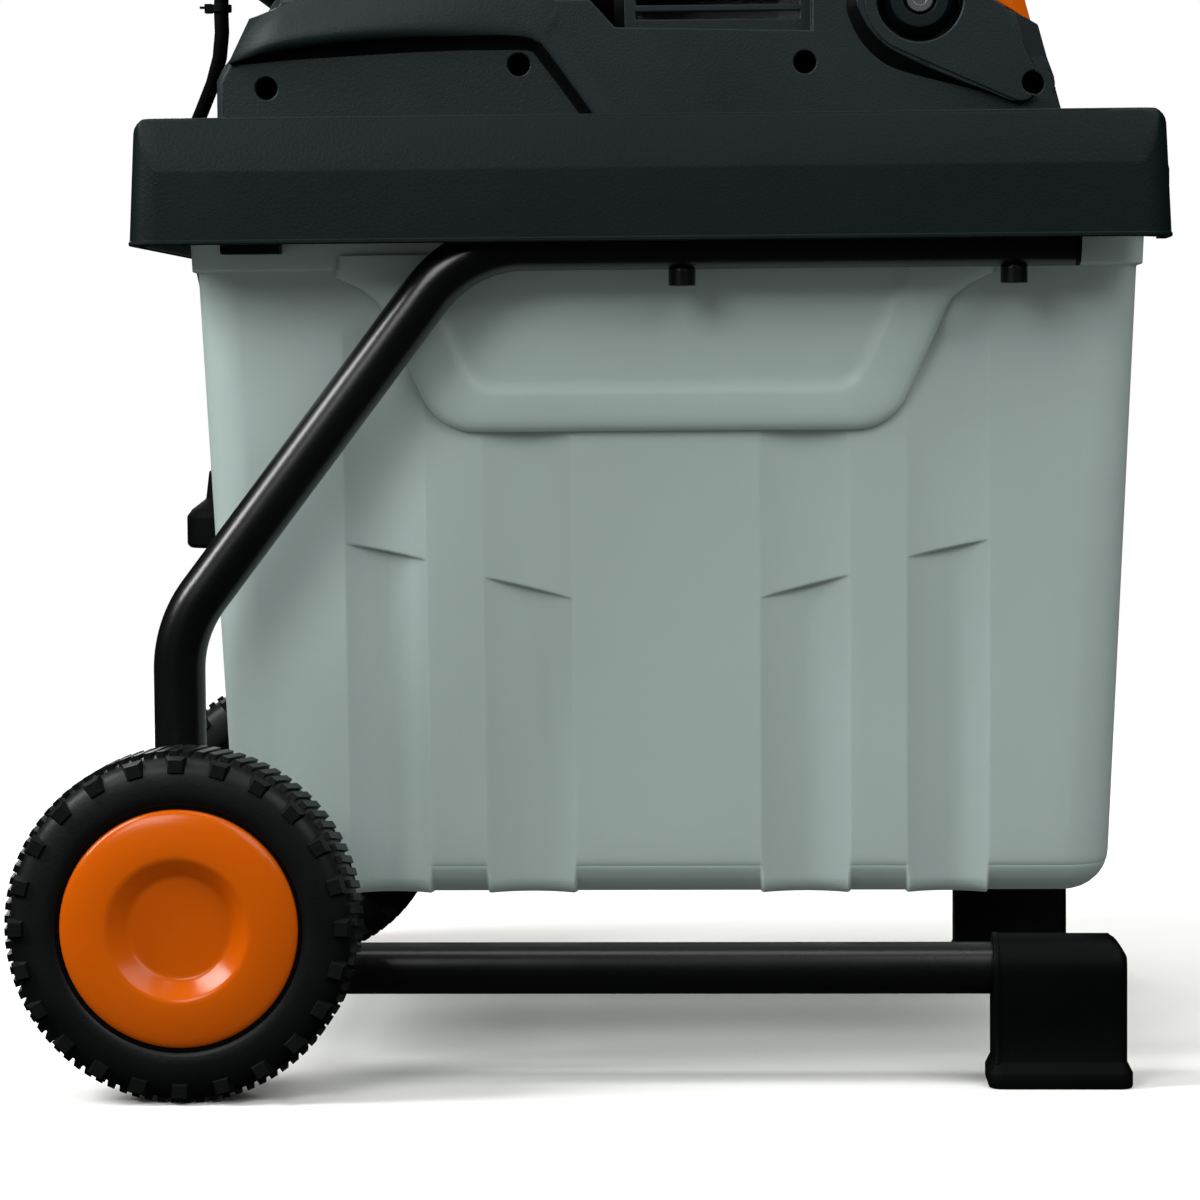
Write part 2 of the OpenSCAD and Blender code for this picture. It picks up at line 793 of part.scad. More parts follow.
module tyre() {
  tip_r = wheel_d / 2;
  root_r = tip_r - tread_depth;
  carcass_r = tip_r - lug_depth - 1;
  color(frame_black) {
    rotate_extrude() difference() {
      translate([hub_rim_r, 0]) square([carcass_r - hub_rim_r, wheel_w]);
      translate([hub_rim_r - over, -over]) square([4 + over, 2 + over]);
      translate([hub_rim_r - over, wheel_w - 2]) square([4 + over, 2 + over]);
      for (y = [0, wheel_w]) translate([carcass_r, y]) circle(3, $fn = 24);
    }
    translate([0, 0, shoulder_w]) linear_extrude(wheel_w - 2 * shoulder_w)
      ribbed_ring(carcass_r - 2, root_r, tip_r, tread_ribs, 0.55);
    for (z = [3.2, wheel_w - shoulder_w]) translate([0, 0, z]) linear_extrude(shoulder_w - 3.2)
      ribbed_ring(carcass_r - 2, carcass_r + 0.4, tip_r - 0.8, shoulder_lugs, 0.62);
  }
}

module wheel_hub() {
  web_t = 6;
  color(body_black) rotate_extrude() {
    translate([hub_bore_r, 0])
      square([hub_boss_r - hub_bore_r, axle_end_y - retainer_t - wheel_in_y - free_gap]);
    translate([hub_boss_r - over, wheel_w / 2 - 12])
      square([hub_rim_r - hub_rim_t - hub_boss_r + 2 * over, web_t]);
    translate([hub_rim_r - hub_rim_t, 3]) square([hub_rim_t, wheel_w - 5.5]);
  }
}

// Dished cap: flat ring, cone down to a round flat, skirt into the hub rim
module hub_cap() {
  rim_r = hub_cap_d / 2;
  ring_r = rim_r * 0.61;
  flat_r = rim_r * 0.42;
  face = wheel_w + cap_recess;
  skirt_z = wheel_w - 9;
  color(cap_orange) rotate_extrude()
    polygon([[0, face - hub_dish], [flat_r, face - hub_dish], [ring_r, face], [rim_r - 2.5, face],
      [rim_r - 0.7, face - 0.8], [rim_r, face - 2.5], [rim_r, skirt_z], [rim_r - cap_wall, skirt_z],
      [rim_r - cap_wall, face - cap_wall], [ring_r + 1, face - cap_wall],
      [flat_r + 1, face - hub_dish - cap_wall], [0, face - hub_dish - cap_wall]]);
}

module tyre_right() wheel_at(-1) tyre();

module tyre_left() wheel_at(1) tyre();

module wheel_hub_right() wheel_at(-1) wheel_hub();

module wheel_hub_left() wheel_at(1) wheel_hub();

module hub_cap_right() wheel_at(-1) hub_cap();

module hub_cap_left() wheel_at(1) hub_cap();

// Housing shells, drawn for the left side and mirrored for the right

function front_x(z) = housing_front_x - (z - deck_z) * tan(front_lean);

module hip_plan() {
  polygon([[housing_rear_x, deck_z], [housing_rear_x, deck_z + 22], [housing_rear_x + 7, deck_z + 34],
    [housing_rear_x + 17, deck_z + 54], [housing_rear_x + 25, hip_z], [front_x(hip_z), hip_z],
    [housing_front_x, deck_z]]);
}

module tower_plan() {
  polygon([[tower_rear_x, deck_z], [tower_rear_x, tower_z], [front_x(tower_z), tower_z],
    [housing_front_x, deck_z]]);
}

// Side view of what the cowl takes up: in front of the tower and above a slanted foot
module cowl_plan(gap) {
  low = [front_x(hip_z) - cowl_depth + gap, hip_z + gap];
  foot = [front_x(deck_z + cowl_foot_h) + gap, deck_z + cowl_foot_h + gap];
  past = tower_z + over;
  polygon([low, [front_x(past) - cowl_depth + gap, past], [housing_front_x + over, past],
    low + (foot - low) * 1.3]);
}

module cowl_space(gap) {
  along_y(housing_w) linear_extrude(2 * housing_w) cowl_plan(gap);
}

// Slab with a bevelled outer edge
module bevelled_slab(half_w, bevel) {
  hull() {
    along_y(half_w - bevel) linear_extrude(half_w - bevel) children(0);
    along_y(half_w) linear_extrude(bevel) offset(delta = -bevel) children(0);
  }
}

module shell_hollow() {
  side_wall = shell_wall + panel_in;
  along_y(shell_y - side_wall) linear_extrude(shell_y) offset(delta = -shell_wall) hip_plan();
  along_y(tower_y - side_wall) linear_extrude(tower_y) offset(delta = -shell_wall) tower_plan();
  // Open below, over the motor and under the hopper
  block([housing_rear_x + shell_wall, -over, deck_z - over],
    [housing_front_x - shell_wall - 2, shell_y - side_wall - 2, deck_z + shell_wall + over]);
  block([hood_rear_x + 10, -over, hip_z - 2 * shell_wall],
    [tower_rear_x + over, hood_half_w - 13, hip_z + over]);
  block([tower_rear_x - over, -over, deck_z + 2 * shell_wall],
    [tower_rear_x + 20, stator_d / 2 + 10, motor_z + stator_d / 2 + 6]);
  block([tower_rear_x + shell_wall, -over, tower_z - 2 * shell_wall],
    [front_x(tower_z) - shell_wall - chute_gap / 2, tower_y - 16, tower_z + over]);
}

// Recessed panel at the rear, under the overhanging ridge
module shell_panel() {
  along_y(shell_y + over) linear_extrude(panel_in + over)
    polygon([[housing_rear_x - over, deck_z - over], [housing_rear_x - over, deck_z + 33],
      [-93, deck_z + 41.5], [-27, deck_z + 43], [-20, deck_z + 40], [5, deck_z - over]]);
}

module vent_recess() {
  along_y(shell_y + over) linear_extrude(vent_depth + over)
    polygon([[vent_x[0], deck_z + 45.5], [vent_x[1], deck_z + 43], [vent_x[1], vent_top_z],
      [vent_x[0] - 12, vent_top_z], [vent_x[0] - 12, deck_z + 58.7]]);
}

module vent_back() {
  block([tower_rear_x, shell_y - vent_depth - shell_wall, deck_z + 40],
    [vent_x[1] + shell_wall, shell_y - panel_in - over, vent_top_z + shell_wall]);
}

module vent_slots() {
  for (k = [0:5])
    block([tower_rear_x + 6, shell_y - vent_depth - 2 * shell_wall, deck_z + 50 + 7 * k],
      [vent_x[1] - 6, shell_y + over, deck_z + 53.5 + 7 * k]);
}

module knob_relief() {
  relief_t = 5;
  along_y(shell_y + relief_t) linear_extrude(relief_t + 3) hull() {
    translate([knob_x, drum_z]) circle(knob_d / 2 + 9, $fn = 48);
    translate([front_x(deck_z + 16) - 14, deck_z + 16]) circle(9, $fn = 32);
    translate([front_x(hip_z) - 18, hip_z - 12]) circle(9, $fn = 32);
  }
}

module housing_half(with_knob) {
  color(body_black) difference() {
    union() {
      difference() {
        union() {
          bevelled_slab(shell_y, edge_round) hip_plan();
          bevelled_slab(tower_y, edge_round) tower_plan();
        }
        shell_hollow();
        shell_panel();
      }
      vent_back();
      for (spot = screw_spots)
        rod_y(boss_end_y, shell_y - 5, screw_boss_r, spot[0], deck_z + spot[1]);
      if (with_knob) {
        knob_relief();
        rod_y(shell_y - knob_pocket - shell_wall, shell_y - 1, knob_d / 2 + 6, knob_x, drum_z);
      }
    }
    for (spot = screw_spots) {
      rod_y(screw_seat_y, shell_y + 6, screw_hole_d / 2, spot[0], deck_z + spot[1]);
      rod_y(boss_end_y - over, screw_seat_y + over, pilot_r + snug_gap, spot[0], deck_z + spot[1]);
    }
    vent_recess();
    vent_slots();
    cowl_space(0);
    if (with_knob) {
      rod_y(shell_y - knob_pocket, shell_y + 8, knob_d / 2 + 3, knob_x, drum_z);
      rod_y(-over, shell_y, spindle_d / 2 + free_gap, knob_x, drum_z);
    }
  }
}

module housing_right() mirror([0, 1, 0]) housing_half(true);

module housing_left() housing_half(false);

module housing_screws() {
  color(frame_black) both_sides() for (spot = screw_spots) {
    rod_y(screw_seat_y, screw_seat_y + 3, screw_hole_d / 2 - 1, spot[0], deck_z + spot[1]);
    rod_y(boss_end_y - lug_t, screw_seat_y, pilot_r, spot[0], deck_z + spot[1]);
  }
}

// Cowl round the front of the tower, open behind and below
module front_cowl() {
  color(cap_orange) intersection() {
    both_sides() difference() {
      bevelled_slab(tower_y, edge_round) tower_plan();
      shell_hollow();
    }
    cowl_space(free_gap);
  }
}

module hood_form(inset, z1) {
  top_in = hood_lean * (z1 - hip_z) / hood_h;
  side_in = hood_side_in * (z1 - hip_z) / hood_h;
  for (level = [[0, 0, hip_z - (inset > 0 ? over : 0)], [top_in, side_in, z1 - 0.5]]) {
    rear = hood_rear_x + level[0] + inset;
    front = tower_rear_x - free_gap + (inset > 0 ? 4 : 0);
    half = hood_half_w - level[1] - inset;
    for (y = [-1, 1]) {
      translate([rear + hood_corner_r, y * (half - hood_corner_r), level[2]])
        cylinder(h = 0.5, r = hood_corner_r, $fn = 32);
      translate([front - 2, y * (half - 2), level[2]]) cylinder(h = 0.5, r = 2, $fn = 16);
    }
  }
}

module motor_hood() {
  color(body_black) difference() {
    hull() hood_form(0, hood_top_z);
    hull() hood_form(shell_wall, hood_top_z - shell_wall);
    // Opening for the switches
    block([panel_x[0] + 6, -panel_half_w + 6, hood_top_z - 2 * shell_wall],
      [panel_x[1] - 6, panel_half_w - 6, hood_top_z + over]);
    both_sides() for (k = [0:6])
      translate([-128 + 19 * k, hood_half_w - 40, hip_z + 22]) rotate([0, 12, 0]) cube([7, 60, 48]);
    translate(cord_route[0]) rotate([0, -180 + gland_angle, 0])
      translate([0, 0, -gland_len - 30]) cylinder(h = 60, d = cord_d + 6);
  }
}

// Hopper, a funnel with a rolled rim over a floor with the throat

module hopper_form(inset, z0, z1) {
  share0 = (z0 - hopper_z) / hopper_h;
  share1 = (z1 - hopper_z) / hopper_h;
  hull() for (level = [[share0, z0], [share1, z1 - 0.5]]) {
    x0 = hopper_base_x[0] + (mouth_rear_x - hopper_base_x[0]) * level[0] + inset;
    x1 = hopper_base_x[1] + (mouth_rear_x + mouth_len - hopper_base_x[1]) * level[0] - inset;
    half = hopper_base_half + (mouth_w / 2 - hopper_base_half) * level[0] - inset;
    translate([(x0 + x1) / 2, 0, level[1]]) linear_extrude(0.5)
      rounded_plan(x1 - x0, 2 * half, hopper_r - inset);
  }
}

module hopper() {
  floor_t = 4;
  color(body_black) difference() {
    union() {
      hopper_form(0, hopper_z, hopper_top_z);
      translate([mouth_rear_x + mouth_len / 2, 0, hopper_top_z - rim_t]) linear_extrude(rim_t)
        rounded_plan(mouth_len + 2 * rim_w, mouth_w + 2 * rim_w, hopper_r + rim_w);
    }
    hopper_form(hopper_wall, hopper_z + floor_t, hopper_top_z + over);
    block([chute_rear_x, -chute_half_y, hopper_z - over],
      [chute_front(hopper_z) - chute_wall, chute_half_y, hopper_z + floor_t + over]);
  }
}

// Front of the chute, along the lean of the housing
function chute_front(z) = front_x(z) - shell_wall - chute_gap;

module chute_form(wall, z0, z1) {
  half = chute_half_y + wall;
  along_y(half) linear_extrude(2 * half)
    polygon([[chute_rear_x - wall, z0], [chute_rear_x - wall, z1],
      [chute_front(z1) - chute_wall + wall, z1], [chute_front(z0) - chute_wall + wall, z0]]);
}

module feed_chute() {
  color(body_black) difference() {
    chute_form(chute_wall, chamber_z, hopper_z);
    chute_form(0, chamber_z - over, hopper_z + over);
  }
}

// Controls

module control_panel() {
  color(frame_black) difference() {
    translate([(panel_x[0] + panel_x[1]) / 2, 0, panel_z]) linear_extrude(panel_t)
      rounded_plan(panel_x[1] - panel_x[0], 2 * panel_half_w, 12);
    for (at = [start_at, stop_at])
      rod_z(panel_z - over, panel_z + panel_t + over, button_d / 2 + free_gap, at[0], at[1]);
    rod_z(panel_z - over, panel_z + panel_t + over, reset_d / 2 + free_gap, reset_at[0], reset_at[1]);
    rod_z(panel_z - over, panel_z + panel_t + over, 5 + run_gap, selector_at[0], selector_at[1]);
  }
}

module push_button(at, d, shade) {
  color(shade) translate([at[0], at[1], panel_z]) {
    rod_z(-free_gap, panel_t + button_travel + 1.5, d / 2);
    rod_z(-free_gap - button_flange_t, -free_gap, d / 2 + button_flange);
  }
}

module start_button() push_button(start_at, button_d, "#2f8f3a");

module stop_button() push_button(stop_at, button_d, "#c01f1f");

module reset_button() push_button(reset_at, reset_d, "#30343a");

module direction_selector() {
  base_z = panel_z + panel_t + free_gap;
  color(body_black) translate([selector_at[0], selector_at[1], 0]) {
    rod_z(base_z, base_z + 6, selector_d / 2);
    block([-selector_d / 2 + 3, -4, base_z + 5], [selector_d / 2 - 3, 4, base_z + 17]);
    rod_z(panel_z - 3, base_z + over, 5);
    rod_z(panel_z - 4 - free_gap, panel_z - free_gap, 7);
  }
}

// Mains lead

module cord_gland() {
  bore_r = cord_d / 2 + snug_gap;
  color(frame_black) translate(cord_route[0]) rotate([0, -180 + gland_angle, 0]) rotate_extrude()
    polygon([[bore_r, -gland_len - 5], [bore_r + 2.7, -gland_len - 5], [bore_r + 2.7, -gland_len + 9],
      [bore_r + 6, -gland_len + 10], [bore_r + 6, -gland_len + 13], [bore_r + 4, -gland_len + 14.5],
      [bore_r + 1.4, 0], [bore_r, 0]]);
}

function unit(v) = v / norm(v);

// Tube swept along a list of points, with its first ring square to the first stretch
module swept_tube(points, r, sides) {
  last = len(points) - 1;
  heading = [for (i = [0:last]) unit(points[min(i + 1, last)] - points[max(i - 1, 0)])];
  side_way = [for (h = heading) unit(cross(h, [0, 1, 0]))];
  ring = [for (i = [0:last], k = [0:sides - 1])
    let (a = 360 * k / sides, up = cross(side_way[i], heading[i]))
    points[i] + r * (cos(a) * side_way[i] + sin(a) * up)];
  walls = [for (i = [0:last - 1], k = [0:sides - 1])
    let (n = (k + 1) % sides) [i * sides + k, i * sides + n, (i + 1) * sides + n, (i + 1) * sides + k]];
  first_cap = [for (k = [sides - 1:-1:0]) k];
  last_cap = [for (k = [0:sides - 1]) last * sides + k];
  polyhedron(ring, concat(walls, [first_cap, last_cap]));
}

module mains_cord() {
  color(frame_black) swept_tube(cord_route, cord_d / 2, cord_sides);
}

module cord_tie() {
  tie_r = cord_d / 2 + free_gap;
  color(frame_black) translate(tie_at) {
    difference() {
      cylinder(h = 4, r = tie_r + tie_wall, center = true);
      cylinder(h = 6, r = tie_r, center = true);
    }
    translate([-tie_r - tie_wall - 3, -2.5, -2.5]) cube([4, 5, 5]);
    translate([-tie_r - tie_wall - 12, -1.6, 0]) cube([10, 3.2, 1.2]);
  }
}

module mains_plug() {
  tail = cord_route[len(cord_route) - 1];
  color(frame_black) translate([tail[0], tail[1], tail[2]]) {
    rotate_extrude()
      polygon([[0, 0], [cord_d / 2 + 1, 0], [cord_d / 2 + 3, -16], [plug_r - 3, -22], [plug_r, -26],
        [plug_r, -plug_len], [plug_r - 2, -plug_len - 2], [0, -plug_len - 2]]);
    for (s = [-1, 1]) rod_z(-plug_len - 2 - pin_len, -plug_len, pin_r, 0, s * pin_pitch / 2);
  }
}

// Adjuster and cutter

module adjuster_knob() {
  color(frame_black) difference() {
    translate([knob_x, 0, drum_z]) rotate([-90, 0, 0]) {
      translate([0, 0, knob_y]) cylinder(h = knob_t - 4, r1 = knob_d / 2 - 4, r2 = knob_d / 2);
      translate([0, 0, knob_y + knob_t - 4]) cylinder(h = 4, r = knob_d / 2);
    }
    rod_y(knob_y - over, knob_y + 5, 8, knob_x, drum_z);
    rod_y(knob_y, knob_y + knob_t + over, spindle_d / 2 + snug_gap, knob_x, drum_z);
  }
}

module knob_screw() {
  color(steel) difference() {
    rod_y(knob_y + 1, knob_y + 5, 6.5, knob_x, drum_z);
    rod_y(knob_y, knob_y + 3, 3.2, knob_x, drum_z);
  }
}

module adjuster_spindle() {
  tip_y = plate_face_y - plate_t - plate_boss_h + spindle_grip;
  collar_y = chamber_y[0] - chamber_wall - free_gap;
  color(steel) {
    rod_y(knob_y + 5, tip_y, spindle_d / 2, knob_x, drum_z);
    rod_y(collar_y - 4, collar_y, spindle_d / 2 + 3, knob_x, drum_z);
  }
}

module pressure_plate() {
  back = plate_face_y - plate_t;
  color(cast_grey) difference() {
    union() {
      block([drum_x + 1, back, drum_z - plate_h / 2],
        [drum_x + drum_len - 1, plate_face_y, drum_z + plate_h / 2]);
      rod_y(back - plate_boss_h, back + over, plate_boss_r, knob_x, drum_z);
      for (z = [-1, 1]) block([frame_x + frame_end_t + free_gap, back + 3, drum_z + z * plate_h / 3 - 3],
        [frame_front_x - free_gap, back + 9, drum_z + z * plate_h / 3 + 3]);
    }
    rod_y(back - plate_boss_h - over, back - plate_boss_h + bush_len, bush_r + run_gap, knob_x, drum_z);
  }
}

// Threaded bush that carries the plate along the spindle
module plate_bush() {
  end_y = plate_face_y - plate_t - plate_boss_h;
  color(steel) difference() {
    rod_y(end_y, end_y + bush_len, bush_r, knob_x, drum_z);
    rod_y(end_y - over, end_y + bush_len + over, spindle_d / 2 + run_gap, knob_x, drum_z);
  }
}

// Drum with hooked teeth along its length
module cutting_drum() {
  root = drum_r - 11;
  pitch = 360 / drum_teeth;
  color(cast_grey) along_x(drum_x) translate([0, drum_z]) linear_extrude(drum_len) difference() {
    polygon([for (i = [0:drum_teeth - 1], k = [0:3])
      let (a = (i + [0, 0.16, 0.24, 0.8][k]) * pitch, r = [drum_r, drum_r - 1, root, root + 3][k])
      [r * cos(a), r * sin(a)]]);
    circle(drum_shaft_d / 2);
  }
}

module drum_shaft() {
  color(steel)
    rod_x(gearbox_x + 3 + free_gap, frame_front_x + frame_front_t - 1, drum_shaft_d / 2, 0, drum_z);
}

module drum_gear() {
  color(steel) along_x(slow_gear_x) translate([0, drum_z]) linear_extrude(slow_gear_w) difference() {
    gear_plan(gear_teeth, slow_module, slow_mesh_angle);
    circle(drum_shaft_d / 2);
  }
}

module countershaft() {
  pinion_angle = slow_mesh_angle + 180 + 180 / pinion_teeth;
  color(steel) {
    rod_x(gearbox_x + 3 + free_gap, cover_x + bearing_w, counter_d / 2, counter_y, counter_z);
    along_x(slow_gear_x - 2) translate([counter_y, counter_z]) linear_extrude(slow_gear_w + 4)
      gear_plan(pinion_teeth, slow_module, pinion_angle);
  }
}

module countershaft_gear() {
  color(steel) along_x(fast_gear_x) translate([counter_y, counter_z]) linear_extrude(fast_gear_w)
    difference() {
      gear_plan(gear_teeth, fast_module, fast_mesh_angle);
      circle(counter_d / 2);
    }
}

module motor_pinion() {
  pinion_angle = fast_mesh_angle + 180 + 180 / pinion_teeth;
  color(steel) along_x(fast_gear_x - 2) translate([0, motor_z]) linear_extrude(fast_gear_w + 4)
    difference() {
      gear_plan(pinion_teeth, fast_module, pinion_angle);
      circle(pinion_bore_r);
    }
}

module case_plan(shrink) {
  hull() {
    translate([0, drum_z]) circle(slow_module * gear_teeth / 2 + 9 - shrink);
    translate([counter_y, counter_z]) circle(fast_module * gear_teeth / 2 + 9 - shrink);
    translate([0, motor_z]) circle(38 - shrink);
  }
}

module gearbox_case() {
  color(cast_grey) difference() {
    union() {
      along_x(gearbox_x) linear_extrude(cover_x - gearbox_x) case_plan(0);
      block([gearbox_x + 6, -44, deck_z], [cover_x, 44, drum_z]);
    }
    along_x(gearbox_x + case_end_t) linear_extrude(cover_x - gearbox_x) case_plan(case_wall);
    rod_x(gearbox_x + 3, gearbox_x + case_end_t + over, drum_bearing_r, 0, drum_z);
    rod_x(gearbox_x + 3, gearbox_x + case_end_t + over, counter_bearing_r, counter_y, counter_z);
    rod_x(gearbox_x - over, gearbox_x + case_end_t + over, motor_shaft_d / 2 + 2, 0, motor_z);
  }
}

module gearbox_cover() {
  color(cast_grey) difference() {
    along_x(cover_x) linear_extrude(cover_t) case_plan(0);
    rod_x(cover_x - over, cover_x + bearing_w, drum_bearing_r, 0, drum_z);
    rod_x(cover_x - over, cover_x + cover_t + over, drum_shaft_d / 2 + 1, 0, drum_z);
    rod_x(cover_x - over, cover_x + bearing_w, counter_bearing_r, counter_y, counter_z);
  }
}

module cutter_frame() {
  front = frame_front_x + frame_front_t;
  color(cast_grey) difference() {
    block([frame_x, chamber_y[0] - chamber_wall, deck_z], [front, chamber_y[1] + chamber_wall, chamber_z]);
    block([frame_x + frame_end_t, chamber_y[0], deck_z - over],
      [frame_front_x, chamber_y[1], chamber_z + over]);
    rod_x(frame_x - over, frame_x + frame_end_t + over, drum_shaft_d / 2 + 1, 0, drum_z);
    rod_x(frame_front_x - over, frame_front_x + bearing_w, drum_bearing_r, 0, drum_z);
    rod_x(frame_front_x - over, front + over, drum_shaft_d / 2 + 1, 0, drum_z);
    rod_y(chamber_y[0] - chamber_wall - over, chamber_y[0] + over, spindle_d / 2 + run_gap, knob_x, drum_z);
    // Room for the leaning front of the housing
    along_y(shell_y) linear_extrude(housing_w)
      polygon([[chute_front(deck_z), deck_z - over], [chute_front(chamber_z), chamber_z + over],
        [housing_front_x, chamber_z + over], [housing_front_x, deck_z - over]]);
  }
}

module bearing(x, shaft_d, outer_r, y, z) {
  difference() {
    rod_x(x, x + bearing_w, outer_r, y, z);
    rod_x(x - over, x + bearing_w + over, shaft_d / 2 + run_gap, y, z);
  }
}

module shaft_bearings() {
  color(steel) {
    for (x = [gearbox_x + 3, cover_x, frame_front_x]) bearing(x, drum_shaft_d, drum_bearing_r, 0, drum_z);
    for (x = [gearbox_x + 3, cover_x]) bearing(x, counter_d, counter_bearing_r, counter_y, counter_z);
    for (x = [shield_x + 2, rear_shield_x + 3]) bearing(x, motor_shaft_d, motor_bearing_r, 0, motor_z);
  }
}

// Motor

module motor_shaft() {
  color(steel) {
    rod_x(fan_x - 3, gearbox_x + case_end_t, motor_shaft_d / 2, 0, motor_z);
    rod_x(gearbox_x + case_end_t - over, fast_gear_x + fast_gear_w + 2, pinion_bore_r, 0, motor_z);
  }
}

module motor_rotor() {
  color(cast_grey) difference() {
    rod_x(stator_x + 4, shield_x - 4, rotor_r - air_gap, 0, motor_z);
    rod_x(stator_x, shield_x, motor_shaft_d / 2, 0, motor_z);
  }
}

module motor_stator() {
  color(copper_brown) difference() {
    rod_x(stator_x, shield_x, stator_d / 2, 0, motor_z);
    rod_x(stator_x - over, shield_x + over, rotor_r, 0, motor_z);
  }
}

module motor_shields() {
  seats = [[shield_x, shield_x + 2], [rear_shield_x, rear_shield_x + 3]];
  color(cast_grey) for (seat = seats) difference() {
    rod_x(seat[0], seat[0] + shield_t, stator_d / 2, 0, motor_z);
    rod_x(seat[1], seat[1] + bearing_w, motor_bearing_r, 0, motor_z);
    rod_x(seat[0] - over, seat[0] + shield_t + over, motor_shaft_d / 2 + 1, 0, motor_z);
  }
}

module cooling_fan() {
  blades = 9;
  fan_r = stator_d / 2 - 6;
  color(body_black) difference() {
    union() {
      rod_x(fan_x, fan_x + 3, fan_r, 0, motor_z);
      rod_x(fan_x, fan_x + fan_w, motor_shaft_d / 2 + 5, 0, motor_z);
      translate([fan_x, 0, motor_z]) for (i = [0:blades - 1]) rotate([i * 360 / blades, 0, 0])
        block([2, motor_shaft_d / 2 + 2, -1], [fan_w, fan_r - 2, 1]);
    }
    rod_x(fan_x - over, fan_x + fan_w + over, motor_shaft_d / 2, 0, motor_z);
  }
}

module run_capacitor() {
  mid_z = deck_z + capacitor_d / 2 + snug_gap;
  color(steel) {
    rod_x(capacitor_x[0], capacitor_x[1], capacitor_d / 2, capacitor_y, mid_z);
    for (s = [-1, 1]) rod_x(capacitor_x[1], capacitor_x[1] + 8, 2.5, capacitor_y + 8 * s, mid_z);
  }
}

frame_tube_right();
frame_tube_left();
tube_plugs();
foot_right();
foot_left();
foot_pads();
axle();
axle_retainers();
frame_bolts();
tray();
rail_right();
rail_left();
rail_screws();
housing_right();
housing_left();
housing_screws();
front_cowl();
motor_hood();
hopper();
feed_chute();
control_panel();
start_button();
stop_button();
reset_button();
direction_selector();
cord_gland();
mains_cord();
cord_tie();
mains_plug();
adjuster_knob();
knob_screw();
adjuster_spindle();
pressure_plate();
plate_bush();
cutting_drum();
drum_shaft();
drum_gear();
cutter_frame();
gearbox_case();
gearbox_cover();
shaft_bearings();
countershaft();
countershaft_gear();
motor_pinion();
motor_shaft();
motor_rotor();
motor_stator();
motor_shields();
cooling_fan();
run_capacitor();
safety_switch();
box_lock();
collection_box();
tyre_right();
tyre_left();
wheel_hub_right();
wheel_hub_left();
hub_cap_right();
hub_cap_left();
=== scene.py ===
import json
import math

import bmesh
import bpy
from mathutils import Matrix, Vector


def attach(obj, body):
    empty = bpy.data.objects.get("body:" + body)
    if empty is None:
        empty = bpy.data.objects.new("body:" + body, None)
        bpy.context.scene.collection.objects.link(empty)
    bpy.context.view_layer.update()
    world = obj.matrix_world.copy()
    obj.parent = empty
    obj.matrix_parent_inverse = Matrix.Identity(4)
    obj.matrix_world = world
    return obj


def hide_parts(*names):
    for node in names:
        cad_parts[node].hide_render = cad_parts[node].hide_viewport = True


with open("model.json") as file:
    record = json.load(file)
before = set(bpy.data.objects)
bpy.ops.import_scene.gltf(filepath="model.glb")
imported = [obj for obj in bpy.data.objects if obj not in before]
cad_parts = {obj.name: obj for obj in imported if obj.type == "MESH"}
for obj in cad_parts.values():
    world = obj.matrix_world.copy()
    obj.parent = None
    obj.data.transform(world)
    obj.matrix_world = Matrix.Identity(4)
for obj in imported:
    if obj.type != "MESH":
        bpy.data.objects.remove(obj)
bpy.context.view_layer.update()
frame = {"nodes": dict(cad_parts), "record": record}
mm = 0.001
scene = bpy.context.scene
scene.view_settings.view_transform = "Standard"
print("frame loaded:", len(frame["nodes"]), "nodes")


def toLinear(hexCode):
    parts = [int(hexCode[i:i + 2], 16) / 255 for i in (1, 3, 5)]
    return tuple(c / 12.92 if c <= 0.04045 else ((c + 0.055) / 1.055) ** 2.4 for c in parts) + (1.0,)


def addNode(tree, kind, props=None, values=None, links=None):
    node = tree.nodes.new(kind)
    for key, value in (props or {}).items():
        setattr(node, key, value)
    for key, value in (values or {}).items():
        node.inputs[key].default_value = value
    for key, socket in (links or {}).items():
        tree.links.new(socket, node.inputs[key])
    return node


def sumNode(tree, way, values=None, links=None):
    return addNode(tree, "ShaderNodeMath", {"operation": way}, values, links)


def newMaterial(name):
    material = bpy.data.materials.new(name)
    material.use_nodes = True
    tree = material.node_tree
    tree.nodes.clear()
    return material, tree


def perMetre(sizeMm):
    return 1000.0 / sizeMm  # noise scale whose features are about this size


# Camera at the photo's view, solved from the frame tube and the wheel
cameraView = {"place": (0.084, -1.9519, 0.3432), "yaw": 2.585, "pitch": 3.5, "roll": 0.4629, "lens": 110.52}


def makeCamera(view):
    yaw, pitch, roll = (math.radians(view[k]) for k in ("yaw", "pitch", "roll"))
    ahead = Vector((-math.sin(yaw) * math.cos(pitch), math.cos(yaw) * math.cos(pitch), -math.sin(pitch)))
    right = Vector((math.cos(yaw), math.sin(yaw), 0))
    down = ahead.cross(right)
    rolledRight = right * math.cos(roll) + down * math.sin(roll)
    rolledDown = down * math.cos(roll) - right * math.sin(roll)
    data = bpy.data.cameras.new("photoCamera")
    data.lens = view["lens"]
    data.sensor_width = 36
    data.clip_start, data.clip_end = 0.05, 60
    camera = bpy.data.objects.new("photoCamera", data)
    axes = Matrix((rolledRight, -rolledDown, -ahead)).transposed()
    camera.matrix_world = Matrix.Translation(view["place"]) @ axes.to_4x4()
    scene.collection.objects.link(camera)
    scene.camera = camera


makeCamera(cameraView)

